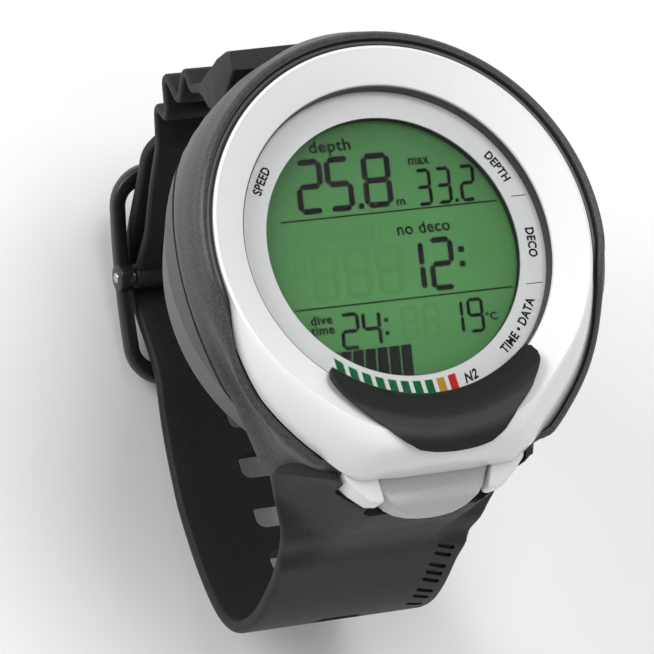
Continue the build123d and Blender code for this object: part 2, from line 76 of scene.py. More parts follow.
def smooth(low: float, high: float, x: float) -> float:
    """0 before low, 1 after high, and an even S between them (either way round)."""
    t = min(1.0, max(0.0, (x - low) / (high - low)))
    return t * t * (3 - 2 * t)


def blend(a: float, b: float, t: float) -> float:
    """Value t of the way from a to b."""
    return a + (b - a) * t


def along(table: Table, x: float, column: int = 1) -> float:
    """Read a table of (key, value, ...) rows, with straight lines between the keys.

    Args:
        table: rows in rising order of their first number.
        x: key to read at.
        column: which number of the row to read.

    Returns:
        The value at x, or the first or last row's value outside the table.
    """
    return float(np.interp(x, [row[0] for row in table], [row[column] for row in table]))


def cubic_through(points: Sequence[tuple[float, float]], count: int) -> list[tuple[Vector, Vector]]:
    """Natural cubic curve through points of the (y, z) plane, sampled evenly by length.

    Args:
        points: (y, z) points that the curve passes through.
        count: number of samples less one.

    Returns:
        A list of (point, direction) pairs, each a 2-D vector.
    """
    knots = np.array(points, float)
    chord = np.concatenate([[0.0], np.cumsum(np.linalg.norm(np.diff(knots, axis=0), axis=1))])
    size = len(points)
    step = np.diff(chord)
    left = np.eye(size)
    right = np.zeros((size, 2))
    for i in range(1, size - 1):
        left[i, i - 1:i + 2] = step[i - 1], 2 * (step[i - 1] + step[i]), step[i]
        right[i] = 6 * ((knots[i + 1] - knots[i]) / step[i] - (knots[i] - knots[i - 1]) / step[i - 1])
    curve = np.linalg.solve(left, right)
    dense = np.linspace(0, chord[-1], 1600)
    cell = np.clip(np.searchsorted(chord, dense) - 1, 0, size - 2)
    a = ((chord[cell + 1] - dense) / step[cell])[:, None]
    b = 1 - a
    line = a * knots[cell] + b * knots[cell + 1]
    line += ((a ** 3 - a) * curve[cell] + (b ** 3 - b) * curve[cell + 1]) * (step[cell] ** 2 / 6)[:, None]
    length = np.concatenate([[0.0], np.cumsum(np.linalg.norm(np.diff(line, axis=0), axis=1))])
    even = np.linspace(0, length[-1], count + 1)
    ys, zs = (np.interp(even, length, line[:, i]) for i in (0, 1))
    slope = np.gradient(np.stack([ys, zs], 1), axis=0)
    slope /= np.linalg.norm(slope, axis=1)[:, None]
    return [(Vector((y, z)), Vector((dy, dz))) for y, z, (dy, dz) in zip(ys, zs, slope)]


# ------------------------------------------------------------------ shader maths
class Number:
    """A shader's number socket, which Python arithmetic extends with Math nodes."""

    def __init__(self, graph: "Graph", socket: bpy.types.NodeSocket) -> None:
        """Wrap a socket of a graph."""
        self.graph = graph
        self.socket = socket

    def math(self, operation: str, first: "Term", second: "Term" = 0.0) -> "Number":
        """Math node on two terms."""
        made = self.graph.node("ShaderNodeMath", {"operation": operation}, {0: first, 1: second})
        return Number(self.graph, made.outputs[0])

    def __add__(self, other: "Term") -> "Number":
        """Sum."""
        return self.math("ADD", self, other)

    __radd__ = __add__

    def __sub__(self, other: "Term") -> "Number":
        """Difference."""
        return self.math("SUBTRACT", self, other)

    def __rsub__(self, other: "Term") -> "Number":
        """Difference from a plain number."""
        return self.math("SUBTRACT", other, self)

    def __mul__(self, other: "Term") -> "Number":
        """Product."""
        return self.math("MULTIPLY", self, other)

    __rmul__ = __mul__

    def __pow__(self, other: "Term") -> "Number":
        """Power."""
        return self.math("POWER", self, other)

    def over(self, level: float, width: float) -> "Number":
        """Soft step from 0 to 1 about a level."""
        rise = (self - level) * (1 / width) + 0.5
        return rise.math("MINIMUM", rise.math("MAXIMUM", rise, 0.0), 1.0)


Term = Union[Number, bpy.types.NodeSocket, float, tuple]


class Graph:
    """A material's node tree, with the object's own coordinates at hand."""

    def __init__(self, name: str) -> None:
        """Make an empty material of that name."""
        self.material = bpy.data.materials.new(name)
        self.material.use_nodes = True
        self.tree = self.material.node_tree
        self.tree.nodes.clear()
        self.end = self.node("ShaderNodeOutputMaterial")
        self.place = self.node("ShaderNodeTexCoord").outputs["Object"]

    def node(self, kind: str, settings: Optional[dict] = None,
             sockets: Optional[dict] = None) -> bpy.types.Node:
        """Add a node.

        Args:
            kind: the node's type.
            settings: its properties, and "stops" for a ramp's (position, colour) pairs.
            sockets: values or links of its inputs, by name or index.

        Returns:
            The node.
        """
        made = self.tree.nodes.new(kind)
        for key, value in (settings or {}).items():
            if key == "stops":
                for i, (at, colour) in enumerate(value):
                    stop = made.color_ramp.elements[i] if i < 2 else made.color_ramp.elements.new(at)
                    stop.position = at
                    stop.color = (*colour, 1.0)
            else:
                setattr(made, key, value)
        for key, value in (sockets or {}).items():
            if isinstance(value, Number):
                value = value.socket
            if isinstance(value, bpy.types.NodeSocket):
                self.tree.links.new(value, made.inputs[key])
            else:
                made.inputs[key].default_value = value
        return made

    def noise(self, size: float, detail: float = 2.0, rough: float = 0.5,
              stretch: tuple = (1, 1, 1)) -> Number:
        """Noise in the object's space.

        Args:
            size: width of its lumps in metres.
            detail: octaves.
            rough: share of each finer octave.
            stretch: factor on each coordinate.

        Returns:
            Its value, about 0.5.
        """
        where = self.node("ShaderNodeMapping", None, {"Vector": self.place, "Scale": stretch}).outputs[0]
        made = self.node("ShaderNodeTexNoise", None,
                         {"Vector": where, "Scale": 1 / size, "Detail": detail, "Roughness": rough})
        return Number(self, made.outputs[0])

    def axis(self, index: int) -> Number:
        """One of the object's coordinates, in metres."""
        return Number(self, self.node("ShaderNodeSeparateXYZ", None, {0: self.place}).outputs[index])

    def radius(self) -> Number:
        """Distance from the dial's axis, in metres."""
        x, y = self.axis(0), self.axis(1)
        return (x * x + y * y) ** 0.5

    def mix(self, factor: Term, first: Term, second: Term) -> bpy.types.NodeSocket:
        """Colour between two colours."""
        made = self.node("ShaderNodeMix", {"data_type": "RGBA"}, {0: factor, 6: rgba(first), 7: rgba(second)})
        return made.outputs[2]

    def bump(self, height: Number, distance: float, strength: float = 1.0) -> bpy.types.NodeSocket:
        """Normal of a relief of that depth in metres."""
        made = self.node("ShaderNodeBump", None,
                         {"Height": height, "Distance": distance, "Strength": strength})
        return made.outputs[0]

    def principled(self, **sockets: Term) -> bpy.types.Material:
        """Finish the material with a Principled shader, its sockets named with underscores for spaces."""
        named = {key.replace("_", " "): value for key, value in sockets.items()}
        shader = self.node("ShaderNodeBsdfPrincipled", None, named)
        return self.close(shader.outputs[0])

    def close(self, shader: bpy.types.NodeSocket) -> bpy.types.Material:
        """Link a shader to the material's output."""
        self.tree.links.new(shader, self.end.inputs[0])
        return self.material


def rgba(colour: Term) -> Term:
    """Four numbers from a colour of three, and anything else as it is."""
    return (*colour, 1.0) if isinstance(colour, tuple) and len(colour) == 3 else colour


def grey(level: float) -> tuple[float, float, float]:
    """Neutral colour."""
    return (level, level, level)


# ------------------------------------------------------------------ finishes
@dataclass(frozen=True)
class Moulded:
    """Moulded plastic or rubber: spark-eroded grain, a light haze of scuffs and a faint colour drift."""

    name: str
    colour: tuple[float, float, float]
    roughness: float = 0.5
    grain: float = 0.00022
    relief: float = 0.00002
    sparkle: float = 0.25
    drift: float = 0.08
    coat: float = 0.0
    specular: float = 0.5

    def build(self) -> bpy.types.Material:
        """Make the material."""
        g = Graph(self.name)
        grain = g.noise(self.grain, 3.0, 0.6)
        patches = g.noise(0.011, 2.0)
        scuffs = g.noise(0.0016, 4.0, 0.65, (1.0, 0.35, 1.0))
        dark = tuple(c * (1 - self.sparkle) for c in self.colour)
        bright = tuple(min(1.0, c * (1 + self.sparkle)) for c in self.colour)
        tone = g.mix(grain.over(0.5, 0.3), dark, bright)
        tone = g.mix((patches - 0.35) * self.drift * 4, tone, tuple(c * 0.8 for c in self.colour))
        rough = scuffs * 0.12 + grain * 0.08 + (self.roughness - 0.1)
        height = grain + g.noise(self.grain * 6, 1.0) * 0.4
        return g.principled(Base_Color=tone, Roughness=rough, Normal=g.bump(height, self.relief),
                            Coat_Weight=self.coat, Coat_Roughness=0.08, Specular_IOR_Level=self.specular)


@dataclass(frozen=True)
class Metal:
    """Turned or rolled metal with fine scratches and a little tarnish."""

    name: str
    colour: tuple[float, float, float]
    roughness: float = 0.28
    brushed: tuple[float, float, float] = (1.0, 1.0, 12.0)

    def build(self) -> bpy.types.Material:
        """Make the material."""
        g = Graph(self.name)
        lines = g.noise(0.0006, 3.0, 0.7, self.brushed)
        stain = g.noise(0.003, 2.0)
        tone = g.mix(stain.over(0.6, 0.4) * 0.35, self.colour, tuple(c * 0.6 for c in self.colour))
        return g.principled(Base_Color=tone, Metallic=1.0, Roughness=lines * 0.25 + (self.roughness - 0.1),
                            Normal=g.bump(lines, 0.000006))


@dataclass(frozen=True)
class PaintedDial:
    """Silver paint on the dial ring, with fine flake and darker cloudy patches."""

    name: str = "silver_dial_paint"
    tone: float = 0.5

    def build(self) -> bpy.types.Material:
        """Make the material."""
        g = Graph(self.name)
        flake = g.noise(0.00016, 2.0, 0.7)
        cloud = g.noise(0.006, 2.0)
        tone = g.mix(flake.over(0.5, 0.45), grey(self.tone * 0.84), grey(self.tone * 1.16))
        tone = g.mix(cloud * 0.2, tone, grey(self.tone * 0.8))
        return g.principled(Base_Color=tone, Metallic=0.15, Roughness=flake * 0.15 + 0.42,
                            Normal=g.bump(flake, 0.00001))


@dataclass(frozen=True)
class DisplayFilm:
    """Green film of the display: mottled, with painted shade that darkens it towards its rim and its top, and
    a faint painted glow from its own emission.
    """

    name: str
    colour: tuple[float, float, float]
    painted_shade_colour: tuple[float, float, float]
    radius: float

    def build(self) -> bpy.types.Material:
        """Make the material."""
        g = Graph(self.name)
        fine = g.noise(0.0004, 3.0, 0.7)
        cloud = g.noise(0.004, 2.0)
        # Painted shade: the film is darker towards its rim and its top, where the bezel and the dial ring
        # shade it.
        edge = (g.radius() * (1 / self.radius)) ** 5.0
        top = (g.axis(1) * (1 / self.radius)).over(0.35, 1.4)
        tone = g.mix(edge * 0.5 + top * 0.4 + cloud * 0.12, self.colour, self.painted_shade_colour)
        tone = g.mix(fine * 0.22, tone, tuple(c * 0.78 for c in self.colour))
        # Painted glow: the film emits a faint light of its own colour, though it is no lamp.
        return g.principled(Base_Color=tone, Roughness=fine * 0.1 + 0.45, Emission_Color=tone,
                            Emission_Strength=0.1, Normal=g.bump(fine, 0.000004), Specular_IOR_Level=0.12)


@dataclass(frozen=True)
class Ink:
    """Printed or switched mark: near flat, with slightly uneven cover."""

    name: str
    colour: tuple[float, float, float]
    roughness: float = 0.55

    def build(self) -> bpy.types.Material:
        """Make the material."""
        g = Graph(self.name)
        cover = g.noise(0.0003, 3.0, 0.7)
        tone = g.mix(cover * 0.35, self.colour, tuple(c * 1.35 + 0.004 for c in self.colour))
        return g.principled(Base_Color=tone, Roughness=cover * 0.1 + self.roughness - 0.05,
                            Normal=g.bump(cover, 0.000003),
                            Specular_IOR_Level=0.06)


@dataclass(frozen=True)
class Clear:
    """Clear glass or film: what lies behind shows through, with a faint reflection and a few hairlines."""

    name: str
    tint: tuple[float, float, float] = (0.985, 0.99, 0.99)
    gloss: float = 0.12

    def build(self) -> bpy.types.Material:
        """Make the material."""
        g = Graph(self.name)
        hair = g.noise(0.0009, 4.0, 0.75, (1.0, 0.2, 1.0))
        through = g.node("ShaderNodeBsdfTransparent", None, {0: rgba(self.tint)}).outputs[0]
        shine = g.node("ShaderNodeBsdfGlossy", None, {0: (1, 1, 1, 1), 1: 0.05}).outputs[0]
        rim = Number(g, g.node("ShaderNodeFresnel", None, {0: 1.45}).outputs[0])
        share = rim * self.gloss * (hair * 0.2 + 0.9)
        made = g.node("ShaderNodeMixShader", None, {0: share, 1: through, 2: shine})
        return g.close(made.outputs[0])


@dataclass(frozen=True)
class CircuitBoard:
    """Solder mask over copper: faint tracks and a glossy skin."""

    name: str = "green_circuit_board"

    def build(self) -> bpy.types.Material:
        """Make the material."""
        g = Graph(self.name)
        wave = g.node("ShaderNodeTexBrick", {"offset": 0.5},
                      {"Vector": g.place, "Scale": 260.0, "Mortar Size": 0.06, "Color1": (0, 0, 0, 1),
                       "Color2": (0.2, 0.2, 0.2, 1), "Mortar": (1, 1, 1, 1)})
        track = Number(g, wave.outputs[1])
        weave = g.noise(0.0004, 2.0)
        tone = g.mix(track, (0.01, 0.11, 0.04), (0.05, 0.24, 0.09))
        return g.principled(Base_Color=tone, Roughness=weave * 0.2 + 0.25, Coat_Weight=0.4,
                            Normal=g.bump(track, 0.00002))


@dataclass(frozen=True)
class Floor:
    """Matte pale studio sweep."""

    name: str = "studio_floor"

    def build(self) -> bpy.types.Material:
        """Make the material."""
        g = Graph(self.name)
        tone = g.mix(g.noise(0.05, 2.0), grey(0.86), grey(0.9))
        return g.principled(Base_Color=tone, Roughness=0.85)


class Finish(Enum):
    """Every finish on the object, by what it covers."""

    CASE = Moulded("charcoal_case_plastic", grey(0.042), 0.46, 0.00032, 0.000035, 0.55)
    BEZEL = Moulded("white_gloss_bezel", (0.78, 0.78, 0.77), 0.24, 0.0005, 0.000003, 0.012, 0.02, 0.35)
    BADGE = Moulded("black_satin_badge", grey(0.007), 0.42, 0.00026, 0.00003, 0.6, specular=0.35)
    RIM = Moulded("black_rim_gasket", grey(0.012), 0.35, 0.0003, 0.00001, 0.3)
    BUTTON = Moulded("grey_button_plastic", (0.45, 0.455, 0.455), 0.36, 0.0004, 0.000008, 0.05, 0.05)
    STRAP = Moulded("black_strap_elastomer", grey(0.011), 0.6, 0.0003, 0.00004, 0.55, 0.12, specular=0.35)
    BUCKLE = Moulded("black_buckle_plastic", grey(0.009), 0.36, 0.0004, 0.000012, 0.3)
    SEAL = Moulded("black_seal_rubber", grey(0.015), 0.5, 0.0003, 0.00001, 0.3)
    HOLDER = Moulded("black_holder_plastic", grey(0.008), 0.6, 0.0003, 0.00001, 0.3)
    GUIDE = Moulded("milky_light_guide", (0.7, 0.78, 0.7), 0.3, 0.0005, 0.000004, 0.03)
    CHIP = Moulded("moulded_chip", grey(0.02), 0.5, 0.0002, 0.00001, 0.3)
    WHITE_PART = Moulded("white_component", grey(0.6), 0.5, 0.0003, 0.00001, 0.08)
    TAN_PART = Moulded("tan_component", (0.35, 0.22, 0.1), 0.45, 0.0003, 0.00001, 0.12)
    DIAL = PaintedDial()
    # Second colour: the film's painted shade colour at its rim and top.
    FILM = DisplayFilm("green_display_film", (0.062, 0.2, 0.06), (0.028, 0.085, 0.028), 0.0209)
    GLASS = Clear("display_glass", (0.95, 0.98, 0.95), 0.03)
    LENS = Clear("scratch_proof_lens", gloss=0.035)
    STEEL = Metal("stainless_steel", grey(0.6))
    BRASS = Metal("gold_plated_brass", (0.75, 0.55, 0.25))
    BOARD = CircuitBoard()
    SEGMENT = Ink("display_segment_black", grey(0.004), 0.5)
    GHOST = Ink("display_segment_unlit", (0.052, 0.175, 0.05), 0.5)
    PRINT = Ink("black_dial_print", grey(0.006))
    GREEN_BAR = Ink("green_dial_print", (0.0, 0.085, 0.025))
    AMBER_BAR = Ink("amber_dial_print", (0.36, 0.19, 0.02))
    RED_BAR = Ink("red_dial_print", (0.38, 0.012, 0.012))
    FLOOR = Floor()

    @property
    def material(self) -> bpy.types.Material:
        """The material of this finish, made once."""
        return bpy.data.materials.get(self.value.name) or self.value.build()


# ------------------------------------------------------------------ modelling tools
def clear_selection() -> None:
    """Leave object mode ready for a new primitive, with nothing selected."""
    if bpy.context.object and bpy.context.object.mode != "OBJECT":
        bpy.ops.object.mode_set(mode="OBJECT")
    bpy.ops.object.select_all(action="DESELECT")


def pick(obj: bpy.types.Object) -> None:
    """Select one object alone and make it active."""
    clear_selection()
    obj.select_set(True)
    bpy.context.view_layer.objects.active = obj


def swept(name: str, rows: int, around: int, place: Place, closed: bool = False) -> bpy.types.Object:
    """Skin made from a circle that is extruded row by row, each row laid where it belongs.

    Args:
        name: name of the piece.
        rows: number of rows.
        around: vertices of each row.
        place: gives the vertex of a row and a number around it.
        closed: whether the last row joins the first; otherwise both ends are capped.

    Returns:
        The object, at the origin.
    """
    clear_selection()
    bpy.ops.mesh.primitive_circle_add(vertices=around, radius=MM, location=(0, 0, 0))
    obj = bpy.context.object
    obj.name = obj.data.name = name
    bpy.ops.object.mode_set(mode="EDIT")
    mesh = bmesh.from_edit_mesh(obj.data)
    number = mesh.verts.layers.int.new("number")
    level = mesh.verts.layers.int.new("level")
    for i, vertex in enumerate(mesh.verts):
        vertex[number] = i
        vertex.co = place(0, i)
    bmesh.update_edit_mesh(obj.data)
    for row in range(1, rows):
        bpy.ops.mesh.extrude_region()
        mesh = bmesh.from_edit_mesh(obj.data)
        number = mesh.verts.layers.int["number"]
        level = mesh.verts.layers.int["level"]
        for vertex in mesh.verts:
            if vertex.select:
                vertex[level] = row
                vertex.co = place(row, vertex[number])
        bmesh.update_edit_mesh(obj.data)
    bpy.ops.mesh.select_all(action="DESELECT")
    mesh = bmesh.from_edit_mesh(obj.data)
    level = mesh.verts.layers.int["level"]
    for group in ([(0, rows - 1)] if closed else [(0,), (rows - 1,)]):
        for edge in mesh.edges:
            ends = {vertex[level] for vertex in edge.verts}
            edge.select_set(len(ends) == 1 and ends <= set(group))
        bmesh.update_edit_mesh(obj.data)
        if closed:
            bpy.ops.mesh.bridge_edge_loops()
        else:
            bpy.ops.mesh.edge_face_add()
        bpy.ops.mesh.select_all(action="DESELECT")
        mesh = bmesh.from_edit_mesh(obj.data)
        level = mesh.verts.layers.int["level"]
    bpy.ops.mesh.select_all(action="SELECT")
    bpy.ops.mesh.normals_make_consistent(inside=False)
    bpy.ops.object.mode_set(mode="OBJECT")
    return obj


def sheet(name: str, across: int, up: int, place: Callable[[float, float], Vector]) -> bpy.types.Object:
    """Grid whose vertices are laid on a surface.

    Args:
        name: name of the piece.
        across: faces along its first direction.
        up: faces along its second direction.
        place: gives a point of the surface from two shares between 0 and 1.

    Returns:
        The object, at the origin.
    """
    clear_selection()
    bpy.ops.mesh.primitive_grid_add(x_subdivisions=across, y_subdivisions=up, size=2, location=(0, 0, 0))
    obj = bpy.context.object
    obj.name = obj.data.name = name
    for vertex in obj.data.vertices:
        vertex.co = place((vertex.co.x + 1) / 2, (vertex.co.y + 1) / 2)
    return obj


def modify(obj: bpy.types.Object, kind: str, **settings: object) -> None:
    """Add a modifier with these settings and apply it."""
    pick(obj)
    made = obj.modifiers.new(kind.lower(), kind)
    for key, value in settings.items():
        setattr(made, key, value)
    bpy.ops.object.modifier_apply(modifier=made.name)


def round_edges(obj: bpy.types.Object, width: float, segments: int = 3, angle: float = 35.0) -> None:
    """Bevel the sharp edges of an object and shade it smooth."""
    modify(obj, "BEVEL", width=width * MM, segments=segments, limit_method="ANGLE",
           angle_limit=math.radians(angle), miter_outer="MITER_ARC")
    shade(obj)


def shade(obj: bpy.types.Object, angle: float = 35.0) -> None:
    """Smooth shading, with edges sharper than the angle kept."""
    pick(obj)
    bpy.ops.object.shade_smooth_by_angle(angle=math.radians(angle))


def prism(name: str, outline: Sequence[tuple[float, float]], lift: Callable[[float, float, float], Vector],
          low: float, high: float) -> bpy.types.Object:
    """Slab with a drawn outline: an n-sided disc laid on the outline and extruded.

    Args:
        name: name of the piece.
        outline: its corners, in order.
        lift: places a corner (u, v) at a height.
        low: height of the first face.
        high: height of the second face.

    Returns:
        The object, at the origin.
    """
    clear_selection()
    bpy.ops.mesh.primitive_circle_add(vertices=len(outline), radius=MM, fill_type="NGON", location=(0, 0, 0))
    obj = bpy.context.object
    obj.name = obj.data.name = name
    for vertex, (u, v) in zip(obj.data.vertices, outline):
        vertex.co = lift(u, v, low)
    bpy.ops.object.mode_set(mode="EDIT")
    bpy.ops.mesh.select_all(action="SELECT")
    step = lift(*outline[0], high) - lift(*outline[0], low)
    bpy.ops.mesh.extrude_region_move(TRANSFORM_OT_translate={"value": step})
    bpy.ops.mesh.select_all(action="SELECT")
    bpy.ops.mesh.normals_make_consistent(inside=False)
    bpy.ops.object.mode_set(mode="OBJECT")
    return obj


def joined(name: str, parts: Sequence[bpy.types.Object]) -> bpy.types.Object:
    """One object made of several."""
    clear_selection()
    for part in parts:
        part.select_set(True)
    bpy.context.view_layer.objects.active = parts[0]
    bpy.ops.object.join()
    parts[0].name = parts[0].data.name = name
    return parts[0]


def cut(obj: bpy.types.Object, cutter: bpy.types.Object) -> None:
    """Take a cutter's volume out of an object and remove the cutter."""
    modify(obj, "BOOLEAN", operation="DIFFERENCE", object=cutter, solver="EXACT")
    bpy.data.objects.remove(cutter)


def lettering(text: str, height: float, weight: float = 0.012) -> bpy.types.Object:
    """Text turned into a mesh in its own plane, before it is placed.

    Args:
        text: the words.
        height: height of a capital, in millimetres.
        weight: how much the strokes are thickened, in millimetres.

    Returns:
        The mesh object, with its lower left corner at the origin.
    """
    clear_selection()
    bpy.ops.object.text_add(location=(0, 0, 0))
    obj = bpy.context.object
    obj.data.body = text
    obj.data.size = height * MM / 0.73
    obj.data.offset = weight * MM
    obj.data.resolution_u = 4
    obj.data.space_character = 1.0 + weight
    bpy.ops.object.convert(target="MESH")
    obj = bpy.context.object
    left = min(vertex.co.x for vertex in obj.data.vertices)
    for vertex in obj.data.vertices:
        vertex.co.x -= left
    return obj


@dataclass
class Assembly:
    """Base of the sub-assemblies: dresses a piece, hangs it on its body and reports it."""

    def fit(self, piece: bpy.types.Object, finish: Finish, body: str, slot: str,
            *nodes: str) -> bpy.types.Object:
        """Give a piece its finish and body, and hide the plain nodes it stands for.

        Args:
            piece: the finished mesh.
            finish: what it is made of.
            body: moving body that carries it.
            slot: material slot name; not used.
            nodes: plain nodes it replaces.

        Returns:
            The piece.
        """
        piece.data.materials.clear()
        piece.data.materials.append(finish.material)
        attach(piece, body)
        if nodes:
            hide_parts(*nodes)
        LOG.info("%s: %d faces on %s", piece.name, len(piece.data.polygons), body)
        return piece


# ------------------------------------------------------------------ case
# Angles about the dial are counted from 6 o'clock, both ways, so the case is the same on its two sides.
SKIRT_EDGE: Table = (
    (0.0, 35.4, 17.6), (5.0, 35.5, 17.6), (14.0, 36.3, 17.7), (20.0, 37.4, 17.9), (24.0, 37.2, 18.4),
    (31.8, 36.1, 19.4), (41.0, 35.2, 20.1), (51.4, 34.4, 21.0), (60.4, 33.4, 22.3), (70.4, 32.3, 23.4),
    (78.0, 31.0, 23.6), (180.0, 31.0, 23.6))


def from_six(theta: float) -> float:
    """Degrees between an angle about the dial and 6 o'clock, without sign."""
    turn = math.degrees(theta) + 90
    return abs((turn + 180) % 360 - 180)


def polar(radius: float, theta: float, z: float) -> Vector:
    """Point at a radius and angle about the dial's axis, in millimetres."""
    return mm(radius * math.cos(theta), radius * math.sin(theta), z)


def reach(plan: Sequence[tuple[float, float]], theta: float) -> float:
    """Distance from the dial's axis to a convex outline, in the direction of an angle.

    Args:
        plan: corners (x, y) of the right half of the outline; the left half is its mirror image.
        theta: the direction.

    Returns:
        The distance, or 0 where the outline lies behind.
    """
    x, y = abs(math.cos(theta)), math.sin(theta)
    best = 0.0
    for (x0, y0), (x1, y1) in zip(plan, plan[1:]):
        det = x * (y0 - y1) - y * (x0 - x1)
        if abs(det) < 1e-9:
            continue
        radius = (x0 * (y0 - y1) - y0 * (x0 - x1)) / det
        share = (x * y0 - y * x0) / det
        if -1e-6 <= share <= 1 + 1e-6 and radius > 0:
            best = max(best, radius)
    return best


@dataclass
class Case(Assembly):
    """Main case with its rim, chin, crown and strap tabs."""

    steps: int = 240
    rim_inner: float = 32.15
    rim_crest: float = 32.75
    rim_outer: float = 33.2
    rim_z: float = 26.8
    body: Table = ((1.6, 31.0), (14.5, 34.8), (20.2, 34.8), (23.6, 34.2), (26.8, 33.0))
    chin: tuple = ((0, -35.4), (15.5, -35.4), (24.0, -28.4), (29.5, -18.0))
    crown_radius: float = 24.5
    crown_y: float = 11.4
    arch_radius: float = 35.0
    arch_z: float = -15.8
    hollow_depth: float = 1.5
    tab_half: float = 9.8
    tab_plans: tuple = (
        ((-26.6, 12.5), (-36.0, 10.2), (-36.4, 5.5), (-34.6, 2.2), (-30.9, 2.2), (-28.6, 7.0)),
        ((26.6, 12.5), (33.2, 14.0), (36.2, 7.0), (34.8, 3.2), (31.0, 2.6), (28.8, 7.0)))

    def low(self, theta: float) -> float:
        """Height of the case's lower edge: the arch over the rear cover, and the strap seams."""
        y = 34.0 * math.sin(theta)
        arch = self.arch_z + math.sqrt(max(0.0, self.arch_radius ** 2 - y * y))
        if y < 0:
            seam = min(4 + (-27.2 - y) * 15 / 7.4, 17.2)
        else:
            seam = min(4.5 + (y - 28.4) * 9 / 4.6, 13.5)
        return max(arch, seam)

    def wall(self, theta: float, z: float) -> float:
        """Radius of the outer wall at an angle and height."""
        side = along(self.body, z)
        turn = from_six(theta)
        chin = reach(self.chin, theta) if turn < 62 else 0.0
        crown = self.crown_y * math.sin(theta) if turn > 118 else 0.0
        crown += math.sqrt(self.crown_radius ** 2 - (self.crown_y * math.cos(theta)) ** 2)
        fade = smooth(25.0, 18.0, z) if crown > chin else smooth(21.5, 19.0, z)
        return side + max(0.0, max(chin, crown) - side) * fade

    def outer(self, row: int, theta: float) -> tuple[float, float]:
        """Radius and height of one row of the case's skin.

        Args:
            row: 0 to 6 up the wall, then over the rim, and down inside.
            theta: angle about the dial.

        Returns:
            (radius, height) in millimetres.
        """
        turn = from_six(theta)
        free = smooth(58.0, 86.0, turn)
        tuck = smooth(33.0, 25.0, turn)
        edge_r = along(SKIRT_EDGE, turn) - 2.2 * tuck
        edge_z = along(SKIRT_EDGE, turn, 2) - 0.6 * tuck
        rim = (blend(edge_r + 0.75, self.rim_inner, free), blend(edge_z + 0.1, self.rim_z - 0.3, free))
        crest = (blend(edge_r + 1.1, self.rim_crest, free), blend(edge_z + 0.3, self.rim_z, free))
        lip = (blend(edge_r + 1.5, self.rim_outer, free), blend(edge_z, self.rim_z - 0.3, free))
        top = lip[1] - 1.2
        low = min(self.low(theta), top - 0.6)
        if row <= 8:
            share = row / 8
            z = blend(low, top, share)
            radius = max(self.wall(theta, z), lip[0] if row == 8 else 0.0) - 1.4 * tuck * share
            scoop = smooth(18, 30, turn) * smooth(82, 60, turn)
            scoop *= math.sin(math.pi * min(1.0, share * 1.08)) ** 1.5
            return radius - self.hollow_depth * scoop - (0.25 if row == 0 else 0.0), z
        return (
            (lip[0] + 0.25, lip[1] - 0.4), lip, crest, rim, (rim[0] - 0.05, rim[1] - 1.2),
            (blend(edge_r - 0.6, 32.0, free), blend(edge_z - 1.6, 23.4, free)),
            (29.5, min(20.0, low + 2.0)), (29.5, low + 0.4))[row - 9]

    def shell(self) -> bpy.types.Object:
        """The case's skin, from the seam up over the rim and back down inside."""
        def place(row: int, i: int) -> Vector:
            """Vertex of the skin."""
            theta = math.tau * i / self.steps
            radius, z = self.outer(row, theta)
            return polar(radius, theta, z)

        skin = swept("case_shell", 17, self.steps, place, closed=True)
        shade(skin, 50)
        return skin

    def tab(self, plan: Sequence[tuple[float, float]]) -> bpy.types.Object:
        """Strap tab: a rounded block that the strap's pin passes through."""
        made = prism("tab", plan, lambda y, z, x: mm(x, y, z), -self.tab_half, self.tab_half)
        round_edges(made, 0.6)
        return made

    def build(self) -> None:
        """Make and dress the case."""
        case = joined("case_shell", [self.shell(), *(self.tab(plan) for plan in self.tab_plans)])
        self.fit(case, Finish.CASE, "case", "case_plastic", "main_case")


